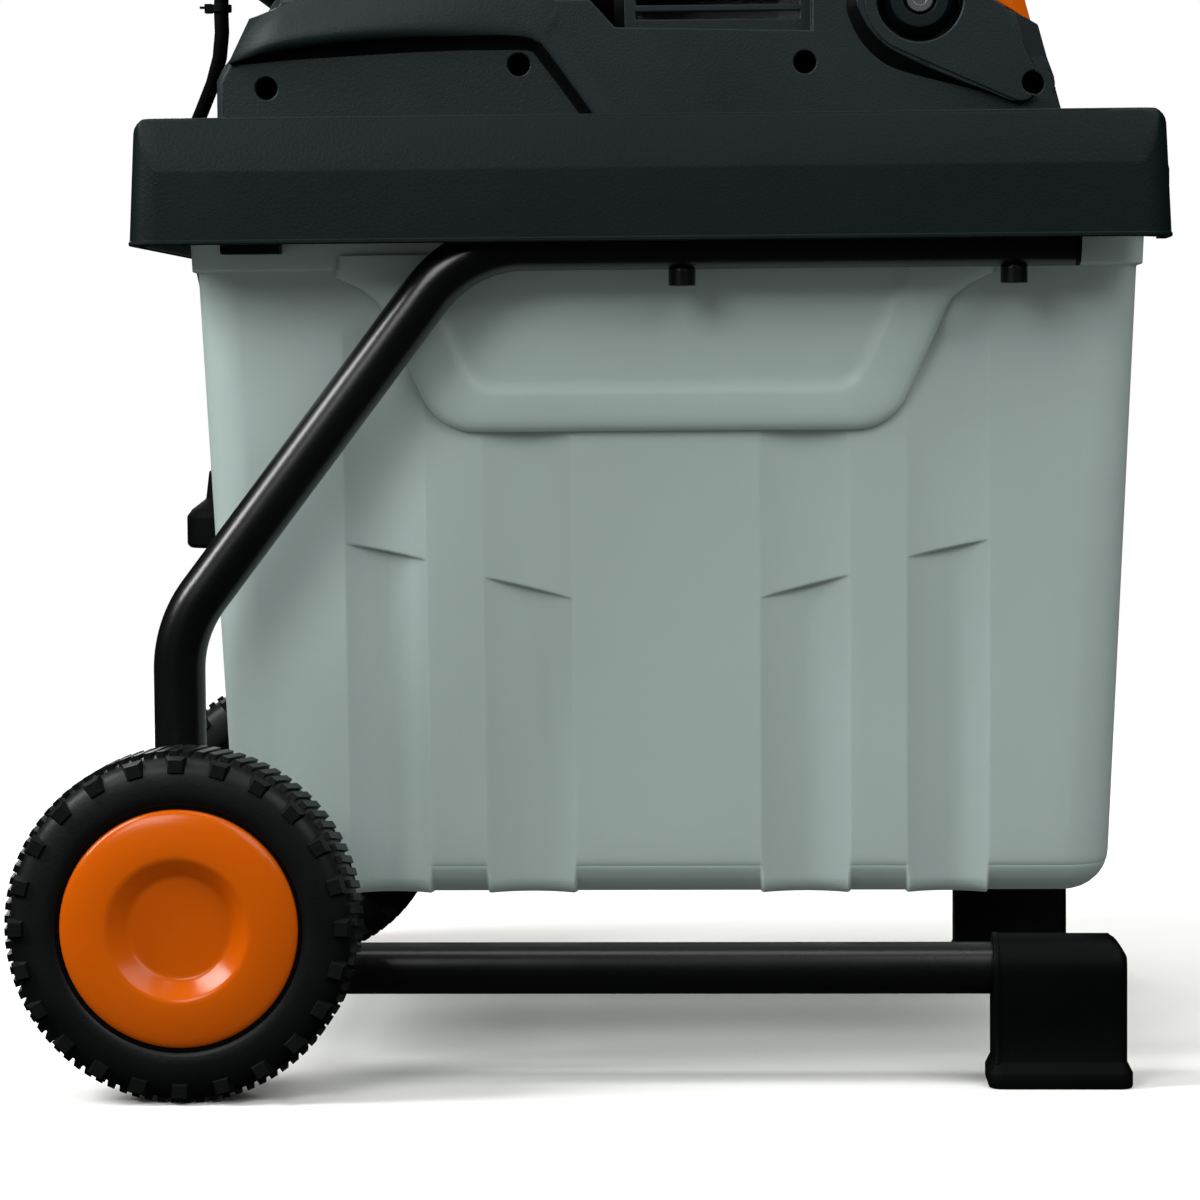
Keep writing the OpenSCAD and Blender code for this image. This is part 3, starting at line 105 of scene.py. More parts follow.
# Studio: pale floor that fades into a white surround, soft boxes in front, at the left, above and behind
studio = {
    "surround": "#ffffff", "diffuseGlow": 0.26, "glossGlow": 0.01,
    "floor": "#f4f4f1", "fadeFrom": 1.1, "fadeTo": 2.6,  # metres from the middle of the floor
    "boxes": [  # name, place, aim, size, watts
        ("keyBox", (-1.04, -2.1, 1.6), (0, 0, 0.3), (1.0, 1.0), 24),
        ("fillBox", (1.25, -1.65, 1.95), (0.05, 0, 0.3), (1.6, 1.6), 28),
        ("leftStrip", (-1.75, -0.64, 1.62), (-0.1, -0.15, 0.3), (0.5, 1.3), 42),
        ("topBox", (0.1, 0.1, 2.7), (0, 0, 0.2), (1.8, 1.8), 34),
        ("rearBox", (-0.6, 2.4, 1.6), (0, 0, 0.4), (1.4, 1.4), 40),
    ],
}


def makeStudio(spec):
    world = bpy.data.worlds.new("studioSurround")
    world.use_nodes = True
    tree = world.node_tree
    tree.nodes.clear()
    path = addNode(tree, "ShaderNodeLightPath")
    white = toLinear(spec["surround"])
    seen, glow, gloss = (
        addNode(tree, "ShaderNodeBackground", values={"Color": white, "Strength": strength})
        for strength in (1.0, spec["diffuseGlow"], spec["glossGlow"]))
    lit = addNode(tree, "ShaderNodeMixShader",
                  links={0: path.outputs["Is Glossy Ray"], 1: glow.outputs[0], 2: gloss.outputs[0]})
    both = addNode(tree, "ShaderNodeMixShader",
                   links={0: path.outputs["Is Camera Ray"], 1: lit.outputs[0], 2: seen.outputs[0]})
    addNode(tree, "ShaderNodeOutputWorld", links={"Surface": both.outputs[0]})
    scene.world = world

    material, tree = newMaterial("paleFloor")
    place = addNode(tree, "ShaderNodeTexCoord")
    reach = addNode(tree, "ShaderNodeVectorMath", {"operation": "LENGTH"},
                    links={0: place.outputs["Object"]})
    fade = addNode(tree, "ShaderNodeMapRange", {"interpolation_type": "SMOOTHSTEP"},
                   {"From Min": spec["fadeFrom"], "From Max": spec["fadeTo"]},
                   {"Value": reach.outputs["Value"]})
    paint = addNode(tree, "ShaderNodeBsdfDiffuse", values={"Color": toLinear(spec["floor"])})
    clear = addNode(tree, "ShaderNodeBsdfTransparent")
    mix = addNode(tree, "ShaderNodeMixShader",
                  links={0: fade.outputs["Result"], 1: paint.outputs[0], 2: clear.outputs[0]})
    addNode(tree, "ShaderNodeOutputMaterial", links={"Surface": mix.outputs[0]})
    bpy.ops.mesh.primitive_circle_add(vertices=96, radius=spec["fadeTo"] + 0.1, fill_type="NGON")
    floor = bpy.context.object
    floor.name = "studioFloor"
    floor.data.materials.append(material)
    floor.visible_glossy = False  # black plastic stays black beside the pale floor
    floor.visible_diffuse = False

    for name, at, aim, size, power in spec["boxes"]:
        data = bpy.data.lights.new(name, "AREA")
        data.shape = "RECTANGLE"
        data.size, data.size_y = size
        data.energy = power
        box = bpy.data.objects.new(name, data)
        box.location = at
        box.rotation_euler = (Vector(aim) - Vector(at)).to_track_quat("-Z", "Y").to_euler()
        scene.collection.objects.link(box)


makeStudio(studio)
print("camera and studio ready")

# Finishes: two tones, roughness, width in mm and depth of the grain, width in mm of the tone patches.
# Real grain is finer than the render can show, so it is drawn coarser.
finishes = {
    # powder-coated steel: black, with long clean highlights along the tubes
    "powderCoat": {"tone": "#050606", "light": "#0a0c0c", "rough": 0.27, "grain": 3.0, "depth": 0.04,
                   "patch": 90},
    # polypropylene from an etched mould: blackish green, dull, with a soft leathery grain
    "grainedPolypropylene": {"tone": "#071213", "light": "#0d191a", "rough": 0.5, "grain": 1.5,
                             "depth": 0.25, "patch": 70, "gloss": 0.13},
    # ABS from a spark-eroded mould: a greyer dark shell with a fine sparkle
    "sparkedAbs": {"tone": "#121c1d", "light": "#1a2526", "rough": 0.48, "grain": 1.2, "depth": 0.3,
                   "patch": 60, "gloss": 0.22},
    # moulded nylon: nearly black, with hardly any sheen
    "satinNylon": {"tone": "#030404", "light": "#060707", "rough": 0.46, "grain": 1.6, "depth": 0.1,
                   "patch": 40, "gloss": 0.06},
    # moulded rubber: flat black
    "mattRubber": {"tone": "#040505", "light": "#090a0a", "rough": 0.6, "grain": 1.4, "depth": 0.15,
                   "patch": 30, "gloss": 0.05},
    # moulded PVC: black, with a wide soft shine on the shoulders
    "tyrePvc": {"tone": "#030505", "light": "#080b0b", "rough": 0.46, "grain": 1.8, "depth": 0.12,
                "patch": 24, "gloss": 0.28},
    # uncoloured moulded polypropylene: milky, soft shading and a waxy shine
    "milkyPolypropylene": {"tone": "#a3b4af", "light": "#adbeb9", "rough": 0.4, "grain": 5.0,
                           "depth": 0.03, "patch": 160, "gloss": 0.35},
    # ABS from a polished mould: even colour and small bright highlights
    "orangeAbs": {"tone": "#c05200", "light": "#c95900", "rough": 0.2, "grain": 2.4, "depth": 0.035,
                  "patch": 60, "gloss": 0.25},
    "greenAbs": {"tone": "#1a6b2c", "light": "#237a35", "rough": 0.3, "grain": 2.0, "depth": 0.04,
                 "patch": 20},
    "redAbs": {"tone": "#a01414", "light": "#b41e1e", "rough": 0.3, "grain": 2.0, "depth": 0.04,
               "patch": 20},
    # zinc-plated steel: pale grey metal, slightly cloudy
    "zincSteel": {"tone": "#a9adb0", "light": "#c2c5c6", "rough": 0.34, "grain": 1.2, "depth": 0.05,
                  "patch": 12, "metal": 1},
    # cast aluminium: dull grey with a rough skin
    "castAluminium": {"tone": "#8b8f91", "light": "#a3a6a7", "rough": 0.55, "grain": 1.4, "depth": 0.25,
                      "patch": 25, "metal": 1},
    # hardened steel: dark grey metal with a blurred shine
    "hardenedSteel": {"tone": "#5c5f63", "light": "#7b7e80", "rough": 0.42, "grain": 1.0, "depth": 0.1,
                      "patch": 15, "metal": 1},
    # varnished copper wire, toned far darker than copper's own colour: painted shade for the shadowed inside
    # behind the vents
    "varnishedCopper": {"tone": "#160b07", "light": "#21120b", "rough": 0.5, "grain": 1.3, "depth": 0.2,
                        "patch": 14},
}
surface = {
    "grainHeight": 0.4,  # share of the grain's width
    "roughSpread": 0.07,  # from patch to patch, both ways
    "patchDetail": 4.0, "grainDetail": 2.5,
    "gloss": 0.5,  # where a finish names none
}


def makeFinish(name, spec):
    material, tree = newMaterial(name)
    place = addNode(tree, "ShaderNodeTexCoord")
    patch, grain = (
        addNode(tree, "ShaderNodeTexNoise",
                values={"Scale": perMetre(spec[kind]), "Detail": surface[kind + "Detail"]},
                links={"Vector": place.outputs["Object"]})
        for kind in ("patch", "grain"))
    tones = addNode(tree, "ShaderNodeMix", {"data_type": "RGBA"},
                    {6: toLinear(spec["tone"]), 7: toLinear(spec["light"])}, {0: patch.outputs["Fac"]})
    rough = addNode(tree, "ShaderNodeMapRange",
                    values={"To Min": spec["rough"] - surface["roughSpread"],
                            "To Max": spec["rough"] + surface["roughSpread"]},
                    links={"Value": patch.outputs["Fac"]})
    height = spec["grain"] * mm * surface["grainHeight"]
    bump = addNode(tree, "ShaderNodeBump", values={"Strength": spec["depth"], "Distance": height},
                   links={"Height": grain.outputs["Fac"]})
    shader = addNode(tree, "ShaderNodeBsdfPrincipled",
                     values={"Metallic": spec.get("metal", 0),
                             "Specular IOR Level": spec.get("gloss", surface["gloss"])},
                     links={"Base Color": tones.outputs[2], "Roughness": rough.outputs["Result"],
                            "Normal": bump.outputs["Normal"]})
    addNode(tree, "ShaderNodeOutputMaterial", links={"Surface": shader.outputs[0]})
    return material, shader


materials, shaders = {}, {}
for finishName, finishSpec in finishes.items():
    materials[finishName], shaders[finishName] = makeFinish(finishName, finishSpec)

# Thin milky wall: light goes in and comes out about a centimetre away, so its shading is soft
milkyWall = {"Subsurface Weight": 0.35, "Subsurface Radius": (1.0, 1.1, 1.0), "Subsurface Scale": 0.012}
for socketName, amount in milkyWall.items():
    shaders["milkyPolypropylene"].inputs[socketName].default_value = amount
print("finishes ready:", len(materials))

slotFinish = {
    "frame_paint": "powderCoat", "body_plastic": "grainedPolypropylene", "black_plastic": "satinNylon",
    "black_rubber": "mattRubber", "tyre_black": "tyrePvc", "box_plastic": "milkyPolypropylene",
    "orange_plastic": "orangeAbs", "green_plastic": "greenAbs", "red_plastic": "redAbs",
    "steel": "zincSteel", "hard_steel": "hardenedSteel", "cast_metal": "castAluminium",
    "winding": "varnishedCopper",
}
# Shells are a shade lighter than the tray, the knob is moulded as the tray is, its screw is darker than zinc
nodeFinish = {"housing_right": "sparkedAbs", "housing_left": "sparkedAbs",
              "adjuster_knob": "grainedPolypropylene", "knob_screw": "hardenedSteel"}
nodeSlot = {row["node"]: row["material_slot"] for row in frame["record"]["subparts"]}
nodeBody = {n: body for body, names in frame["record"]["behaviour"]["bodies"].items() for n in names}


def finishOf(node):
    return materials[nodeFinish.get(node, slotFinish[nodeSlot[node]])]


def smoothMesh(mesh, angle=32):
    mesh.polygons.foreach_set("use_smooth", [True] * len(mesh.polygons))
    mesh.set_sharp_from_angle(angle=math.radians(angle))


def settle(piece, node, material=None):
    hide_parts(node)
    piece.data.materials.clear()
    piece.data.materials.append(material or finishOf(node))
    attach(piece, nodeBody[node])


def linkMesh(name, bm, angle=32):
    mesh = bpy.data.meshes.new(name)
    bm.to_mesh(mesh)
    bm.free()
    smoothMesh(mesh, angle)
    piece = bpy.data.objects.new(name, mesh)
    scene.collection.objects.link(piece)
    return piece


def settleMesh(name, bm, angle, node, material=None):
    bmesh.ops.recalc_face_normals(bm, faces=bm.faces)
    settle(linkMesh(name, bm, angle), node, material)


def stepUp(value, start, end):
    t = max(0.0, min(1.0, (value - start) / (end - start)))
    return t * t * (3 - 2 * t)


def closedStrip(bm, rings):
    for low, high in zip(rings, rings[1:]):
        for k in range(len(low)):
            n = (k + 1) % len(low)
            bm.faces.new((low[k], low[n], high[n], high[k]))
    bm.faces.new(rings[0])
    bm.faces.new(rings[-1])


def bakeModifier(piece, modifier):
    graph = bpy.context.evaluated_depsgraph_get()
    mesh = bpy.data.meshes.new_from_object(piece.evaluated_get(graph), depsgraph=graph)
    piece.modifiers.remove(modifier)
    piece.data = mesh


# Moulded and machined pieces keep the CAD shape and get broken edges; width in mm
edgeWidths = {
    "tray": 0.6, "rail_right": 0.5, "rail_left": 0.5, "housing_right": 0.8, "housing_left": 0.8,
    "front_cowl": 0.8, "motor_hood": 0.8, "hopper": 1.0, "feed_chute": 0.6, "control_panel": 0.8,
    "start_button": 0.8, "stop_button": 0.8, "reset_button": 0.6, "direction_selector": 0.8,
    "frame_bolts": 0.5, "tube_plugs": 0.6, "adjuster_knob": 0.7, "knob_screw": 0.3, "box_lock": 0.8,
    "mains_plug": 0.8, "cord_gland": 0.4, "cord_tie": 0.2, "safety_switch": 0.5,
}
sharpFrom = 30  # degrees between faces
smallFits = {
    "lockGap": 0.12,  # keeps the lock free at the end of its travel
    "tieTail": -222.6,  # the tail of the cable tie is cut short here
}
# Shells lean forward at the rear, above the panel, and stand a little fuller at the front, below the cowl
shellEnds = {
    "from": 496.0, "rate": 0.36, "full": -176.0, "none": -140.0, "fuller": 3.0, "frontFrom": 220.8,
    "frontTo": 222.4, "frontTop": 512.0, "frontHole": (214.7, 482.8, 7.0), "deck": 466.7, "frontLean": 15.3,
}


def leanEnds(bm, spec):
    bmesh.ops.bisect_plane(bm, geom=bm.verts[:] + bm.edges[:] + bm.faces[:],
                           plane_co=(0, 0, spec["from"] * mm), plane_no=(0, 0, 1))
    holeX, holeZ, holeReach = spec["frontHole"]
    lean = math.tan(math.radians(spec["frontLean"]))
    for vert in bm.verts:
        x, z = vert.co.x / mm, vert.co.z / mm
        rise = max(0.0, z - spec["from"])
        x += rise * spec["rate"] * (1 - stepUp(x, spec["full"], spec["none"]))
        slope = x + (z - spec["deck"]) * lean
        clear = math.hypot(x - holeX, z - holeZ) > holeReach  # the screw hole stays round
        if clear and z < spec["frontTop"]:
            x += spec["fuller"] * stepUp(slope, spec["frontFrom"], spec["frontTo"])
        vert.co.x = x * mm


def breakEdges(node, width):
    bm = bmesh.new()
    bm.from_mesh(frame["nodes"][node].data)
    bmesh.ops.remove_doubles(bm, verts=bm.verts, dist=0.002 * mm)
    bmesh.ops.dissolve_limit(bm, angle_limit=math.radians(0.5), verts=bm.verts, edges=bm.edges)
    if node in ("housing_right", "housing_left"):
        leanEnds(bm, shellEnds)
    if node == "box_lock":
        bm.normal_update()
        for vert in bm.verts:
            vert.co -= vert.normal * smallFits["lockGap"] * mm
    if node == "cord_tie":
        for vert in bm.verts:
            vert.co.x = max(vert.co.x, smallFits["tieTail"] * mm)
    piece = linkMesh(node + "_finished", bm, sharpFrom)
    bevel = piece.modifiers.new("brokenEdges", "BEVEL")
    bevel.width = width * mm
    bevel.segments = 2
    bevel.limit_method = "ANGLE"
    bevel.angle_limit = math.radians(sharpFrom)
    bevel.use_clamp_overlap = False
    bevel.harden_normals = True
    level = piece.modifiers.new("levelFlats", "WEIGHTED_NORMAL")
    level.keep_sharp = True
    settle(piece, node)


for nodeName, edgeWidth in edgeWidths.items():
    breakEdges(nodeName, edgeWidth)
print("edges broken on", len(edgeWidths), "pieces")

# Frame tubes: one bent tube a side, swept from its corner points and bend radii
sideTube = {
    "corners": [(245.5, 55.8), (-200.5, 55.8), (-200.5, 222.0), (-60.4, 405.8), (232.0, 405.8)],
    "bends": [0, 55, 60, 60, 0], "radius": 12.5, "gauge": 180.0, "bendSteps": 14, "sides": 40,
}


def roundedPath(corners, bends, steps):
    points = [Vector(p) for p in corners]
    path = [points[0]]
    for before, corner, after, bend in zip(points, points[1:], points[2:], bends[1:-1]):
        back, ahead = (before - corner).normalized(), (after - corner).normalized()
        half = math.acos(max(-1, min(1, back.dot(ahead)))) / 2
        centre = corner + (back + ahead).normalized() * (bend / math.sin(half))
        start = corner + back * (bend / math.tan(half)) - centre
        turn = (math.pi - 2 * half) * (1 if back.x * ahead.y - back.y * ahead.x < 0 else -1)
        for i in range(steps + 1):
            a = turn * i / steps
            path.append(centre + Vector((start.x * math.cos(a) - start.y * math.sin(a),
                                         start.x * math.sin(a) + start.y * math.cos(a))))
    return path + [points[-1]]


def makeSideTube(spec, side, node):
    path = roundedPath(spec["corners"], spec["bends"], spec["bendSteps"])
    bm = bmesh.new()
    rings = []
    for i, at in enumerate(path):
        heading = (path[min(i + 1, len(path) - 1)] - path[max(i - 1, 0)]).normalized()
        lift = Vector((-heading.y, heading.x))
        ring = []
        for k in range(spec["sides"]):
            a = 2 * math.pi * k / spec["sides"]
            flat = at + lift * (spec["radius"] * math.sin(a))
            across = side * spec["gauge"] + spec["radius"] * math.cos(a)
            ring.append(bm.verts.new(Vector((flat.x, across, flat.y)) * mm))
        rings.append(ring)
    closedStrip(bm, rings)
    settleMesh(node + "_bent", bm, 40, node)


makeSideTube(sideTube, -1, "frame_tube_right")
makeSideTube(sideTube, 1, "frame_tube_left")
print("frame tubes bent")

# Wheels: turned profiles round the axle, radius and distance outwards from the inner face
wheel = {
    "axle": (-193.529, 84.0), "inner": 196.1, "half": 23.0, "turns": 96,
    "cap": [(0.0, 39.9), (12.0, 39.8), (22.4, 39.5), (23.8, 39.5), (24.8, 40.0), (25.8, 40.9), (32.4, 46.9),
            (33.2, 47.5), (34.2, 47.9), (35.6, 48.0), (41.0, 47.8), (45.0, 47.3), (49.0, 46.6), (52.6, 45.7),
            (54.6, 44.9), (56.0, 43.9), (56.8, 42.6), (57.0, 41.0), (57.0, 37.0), (54.6, 37.0), (54.2, 42.0),
            (49.0, 43.8), (36.0, 45.2), (33.0, 44.3), (26.0, 38.2), (24.0, 37.2), (0.0, 37.2)],
    "carcass": [(60.7, 4.0), (60.7, 40.4), (58.5, 41.0), (58.2, 42.4), (59.0, 43.6), (61.0, 44.4),
                (64.5, 44.7), (69.0, 44.5), (74.0, 43.8), (77.6, 42.4), (80.2, 39.6), (81.8, 35.4),
                (82.4, 30.0), (82.5, 23.0), (82.4, 16.0), (81.8, 10.6), (80.2, 6.4), (77.6, 3.6),
                (74.0, 2.2), (69.0, 1.5), (64.5, 1.3), (62.0, 1.6), (61.0, 2.4)],
    "ribs": 84, "ribSize": (3.2, 29.0, 3.6), "ribRadius": 82.3, "ribTilt": 9.0,
    "lugs": 24, "lugSize": (9.0, 10.0, 4.2), "lugRadius": 77.2, "lugFrom": 41.4, "lugTaper": 0.64,
}


def turnProfile(bm, profile, side, closed):
    spin = [2 * math.pi * k / wheel["turns"] for k in range(wheel["turns"])]
    rings = []
    for radius, out in profile:
        y = side * (wheel["inner"] + out)
        around = spin if radius > 0 else spin[:1]
        rings.append([bm.verts.new(Vector((wheel["axle"][0] + radius * math.cos(a), y,
                                           wheel["axle"][1] + radius * math.sin(a))) * mm) for a in around])
    pairs = list(zip(rings, rings[1:])) + ([(rings[-1], rings[0])] if closed else [])
    for low, high in pairs:
        for k in range(wheel["turns"]):
            n = (k + 1) % wheel["turns"]
            corners = [low[k % len(low)], low[n % len(low)], high[n % len(high)], high[k % len(high)]]
            bm.faces.new(list(dict.fromkeys(corners)))
    bmesh.ops.recalc_face_normals(bm, faces=bm.faces)


def treadTree():
    tree = bpy.data.node_groups.new("tyreTread", "GeometryNodeTree")
    sizes = {"Carcass": "Geometry", "Axle": "Vector", "Ribs": "Int", "Rib Size": "Vector",
             "Rib Radius": "Float", "Rib Tilt": "Float", "Lugs": "Int", "Lug Size": "Vector",
             "Lug Radius": "Float", "Lug Offset": "Float", "Lug Taper": "Float", "Rubber": "Material"}
    for name, kind in sizes.items():
        tree.interface.new_socket(name, in_out="INPUT", socket_type="NodeSocket" + kind)
    tree.interface.new_socket("Tyre", in_out="OUTPUT", socket_type="NodeSocketGeometry")
    given = addNode(tree, "NodeGroupInput")
    index = addNode(tree, "GeometryNodeInputIndex")
    rings = [given.outputs["Carcass"]]
    for count, size, radius, offset in (("Ribs", "Rib Size", "Rib Radius", 0),
                                        ("Lugs", "Lug Size", "Lug Radius", 1),
                                        ("Lugs", "Lug Size", "Lug Radius", -1)):
        step = sumNode(tree, "DIVIDE", {0: 2 * math.pi}, {1: given.outputs[count]})
        angle = sumNode(tree, "MULTIPLY", links={0: index.outputs[0], 1: step.outputs[0]})
        flat = [sumNode(tree, way, links={0: angle.outputs[0]}) for way in ("COSINE", "SINE")]
        reach = [sumNode(tree, "MULTIPLY", links={0: part.outputs[0], 1: given.outputs[radius]})
                 for part in flat]
        across = sumNode(tree, "MULTIPLY", {1: offset}, {0: given.outputs["Lug Offset"]})
        spot = addNode(tree, "ShaderNodeCombineXYZ",
                       links={"X": reach[0].outputs[0], "Y": across.outputs[0], "Z": reach[1].outputs[0]})
        placed = addNode(tree, "ShaderNodeVectorMath", {"operation": "ADD"},
                         links={0: spot.outputs[0], 1: given.outputs["Axle"]})
        back = sumNode(tree, "MULTIPLY", {1: -1.0}, {0: angle.outputs[0]})
        turn = addNode(tree, "ShaderNodeCombineXYZ", links={"Y": back.outputs[0]})
        points = addNode(tree, "GeometryNodePoints",
                         links={"Count": given.outputs[count], "Position": placed.outputs[0]})
        if offset:  # lugs are square frustums
            corner = math.sqrt(0.5)  # a square of side 1, from its middle
            small = sumNode(tree, "MULTIPLY", {1: corner}, {0: given.outputs["Lug Taper"]})
            peak = addNode(tree, "GeometryNodeMeshCone",
                           values={"Vertices": 4, "Radius Bottom": corner, "Depth": 1.0},
                           links={"Radius Top": small.outputs[0]})
            square = addNode(tree, "GeometryNodeTransform", values={"Rotation": (0, 0, math.pi / 4)},
                             links={"Geometry": peak.outputs["Mesh"]})
            block = addNode(tree, "GeometryNodeTransform",
                            values={"Rotation": (-math.pi / 2 * offset, 0, 0)},
                            links={"Geometry": square.outputs[0], "Scale": given.outputs[size]})
        else:
            tree.links.new(given.outputs["Rib Tilt"], turn.inputs["X"])
            block = addNode(tree, "GeometryNodeMeshCube", links={"Size": given.outputs[size]})
        ring = addNode(tree, "GeometryNodeInstanceOnPoints",
                       links={"Points": points.outputs[0], "Instance": block.outputs[0],
                              "Rotation": turn.outputs[0]})
        rings.append(ring.outputs[0])
    joined = addNode(tree, "GeometryNodeJoinGeometry")
    for socket in reversed(rings):
        tree.links.new(socket, joined.inputs[0])
    real = addNode(tree, "GeometryNodeRealizeInstances", links={0: joined.outputs[0]})
    coloured = addNode(tree, "GeometryNodeSetMaterial",
                       links={"Geometry": real.outputs[0], "Material": given.outputs["Rubber"]})
    addNode(tree, "NodeGroupOutput", links={0: coloured.outputs[0]})
    return tree


def runTree(piece, tree, values):
    modifier = piece.modifiers.new(tree.name, "NODES")
    modifier.node_group = tree
    sockets = {item.name: item.identifier for item in tree.interface.items_tree if item.in_out == "INPUT"}
    for name, value in values.items():
        modifier[sockets[name]] = value
    piece.update_tag()
    bakeModifier(piece, modifier)


tread = treadTree()
for side, sideName in ((-1, "right"), (1, "left")):
    bm = bmesh.new()
    turnProfile(bm, wheel["carcass"], side, True)
    tyre = linkMesh("tyre_" + sideName + "_treaded", bm, 40)
    middle = wheel["inner"] + wheel["half"]
    ribSize, lugSize = ([s * mm for s in wheel[k]] for k in ("ribSize", "lugSize"))
    runTree(tyre, tread, {
        "Axle": (wheel["axle"][0] * mm, side * middle * mm, wheel["axle"][1] * mm),
        "Ribs": wheel["ribs"], "Rib Size": ribSize, "Rib Radius": wheel["ribRadius"] * mm,
        "Rib Tilt": side * math.radians(wheel["ribTilt"]),
        "Lugs": wheel["lugs"], "Lug Size": lugSize, "Lug Radius": wheel["lugRadius"] * mm,
        "Lug Offset": (wheel["lugFrom"] - wheel["half"]) * mm, "Lug Taper": wheel["lugTaper"],
        "Rubber": materials["tyrePvc"]})
    smoothMesh(tyre.data, 40)
    settle(tyre, "tyre_" + sideName)
    bm = bmesh.new()
    turnProfile(bm, wheel["cap"], side, False)
    settle(linkMesh("hub_cap_" + sideName + "_dished", bm, 60), "hub_cap_" + sideName)
print("wheels turned")

# Collection box: rows round a tapered rounded plan, with channels, slanted ledges, a rim and grip aprons
tub = {
    "middle": 35.0, "halfLength": 232.0, "halfWidth": 152.4, "floor": 85.5, "top": 411.3, "draft": 2.5,
    "corner": 24.0, "floorRound": 20.0, "wall": 2.6, "rimFrom": 394.3, "rimOut": 3.0,
    "flangeOut": (237.6, 162.9), "flangeThick": 4.0, "lockHole": (268.5, 410.7, 3.9),
    "channels": [(-138, 20.0, 252.6, 261.0), (-68, 22.0, 233.0, 244.0),  # place, half width, ledge heights
                 (68, 22.0, 233.0, 244.0), (138, 20.0, 252.6, 261.0)],
    "channelDeep": 7.5, "channelShallow": 3.6, "channelTop": 372.0, "channelFade": 14.0,
    "channelRound": 8.0, "ledgeSoft": 0.7, "ledgeClear": 8.0, "rimSoft": 1.4,
    "seam": 100.0, "seamDeep": 0.3, "seamWide": 0.35,
}
grip = {
    "low": 315.5, "high": 402.0, "filletFrom": 391.5, "half": 121.0, "flare": 24.5, "corner": 28.0,
    "fillet": 15.0,
    "profile": [(0.0, -1.3), (0.15, 2.2), (1.2, 4.3), (3.2, 5.7), (6.0, 6.5), (9.0, 6.8), (17.5, 6.8),
                (19.5, 6.5), (21.0, 5.7), (22.5, 4.8), (25.0, 4.3), (29.0, 4.0)],  # inset, then height
}


def ledgeHeight(x):
    stops = [(0, tub["channels"][2][2])]
    for centre, half, inner, outer in tub["channels"][2:]:
        stops += [(centre - half, inner), (centre + half, outer)]
    reach = abs(x)
    for (x0, z0), (x1, z1) in zip(stops, stops[1:]):
        if reach <= x1:
            return z0 + (z1 - z0) * (reach - x0) / (x1 - x0)
    return stops[-1][1]


def wallInset(x, z, onSide, rise):
    # rise is the height above the ledge at this place
    lift = z - tub["floor"]
    bend = tub["floorRound"]
    inset = bend - math.sqrt(max(0.0, bend * bend - (bend - lift) ** 2)) if lift < bend else 0.0
    inset += tub["seamDeep"] * math.exp(-((z - tub["seam"]) / tub["seamWide"]) ** 2)
    if onSide:
        for centre, half, inner, outer in tub["channels"]:
            u = abs(x - centre) / half
            if u < 1.05:
                shallow, soft = tub["channelShallow"], tub["ledgeSoft"]
                deep = shallow + (tub["channelDeep"] - shallow) * (1 - stepUp(rise, -soft, soft))
                deep *= 1 - stepUp(z, tub["channelTop"] - tub["channelFade"], tub["channelTop"])
                foot = tub["channelRound"]
                low = foot - math.sqrt(max(0.0, foot * foot - (foot - lift) ** 2)) if lift < foot else 0.0
                share = 1 - stepUp(u, 0.96, 1.04)
                inside = deep * max(0.0, 1 - u * u) + low
                if lift > bend:
                    inset = inset + inside
                else:
                    inset = inset + (inside - inset) * share
    if z > tub["rimFrom"]:
        inset -= tub["rimOut"] * stepUp(z, tub["rimFrom"], tub["rimFrom"] + tub["rimSoft"])
    return inset


def sideColumns():
    xs = []
    for centre, half, inner, outer in tub["channels"]:
        xs += [centre + half * u for u in (-1.05, -1.02, -0.99, -0.95, -0.85, -0.7, -0.5, -0.25, 0,
                                            0.25, 0.5, 0.7, 0.85, 0.95, 0.99, 1.02, 1.05)]
    xs += [-186, -172, -103, -34, -22, -8, 8, 22, 34, 103, 172, 186]
    return sorted(xs)


def boxRows():
    rows = [("floor", tub["floorRound"] * (1 - math.cos(math.radians(t)))) for t in (0, 12, 24, 36, 48)]
    rows += [("floor", h) for h in (8.0, 10.5, 12.5, 13.8, 14.2, 14.5, 14.8, 15.2, 17.0, 20.0)]
    rows += [("below", s) for s in (0.12, 0.3, 0.5, 0.7, 0.85, 0.94)]
    rows += [("ledge", r) for r in (-6, -3.0, -1.6, -0.8, -0.4, 0, 0.4, 0.8, 1.6, 3.0, 6.0, 11.0)]
    rows += [("above", z) for z in (285, 315, 340, 352, 358, 362, 366, 370, 373, 380, 388, 393.4, 394.3,
                                    394.65, 395.0, 395.35, 395.7, 398, 405, 411.3)]
    return rows


def rowHeight(row, x):
    kind, value = row
    straight = tub["floor"] + tub["floorRound"]
    ledge = ledgeHeight(x)
    if kind == "floor":
        return tub["floor"] + value
    if kind == "below":
        return straight + (ledge - tub["ledgeClear"] - straight) * value
    return ledge + value if kind == "ledge" else value


def wallPoint(place, row, thick):
    kind, x, turn = place
    z = rowHeight(row, x)
    inset = wallInset(x, z, kind == "side", z - ledgeHeight(x)) + thick
    pull = (tub["top"] - z) * math.tan(math.radians(tub["draft"]))
    long, wide = tub["halfLength"] - pull, tub["halfWidth"] - pull
    r = tub["corner"]
    if kind == "side":
        flat = Vector((x, turn * (wide - inset)))
    elif kind == "end":
        flat = Vector((turn * (long - inset), x * (wide - r)))
    else:
        a = math.radians(turn)
        flat = Vector((math.copysign(long - r, math.cos(a)), math.copysign(wide - r, math.sin(a))))
        flat += Vector((math.cos(a), math.sin(a))) * (r - inset)
    return Vector((tub["middle"] + flat.x, flat.y, z + (thick if row[0] == "floor" else 0)))


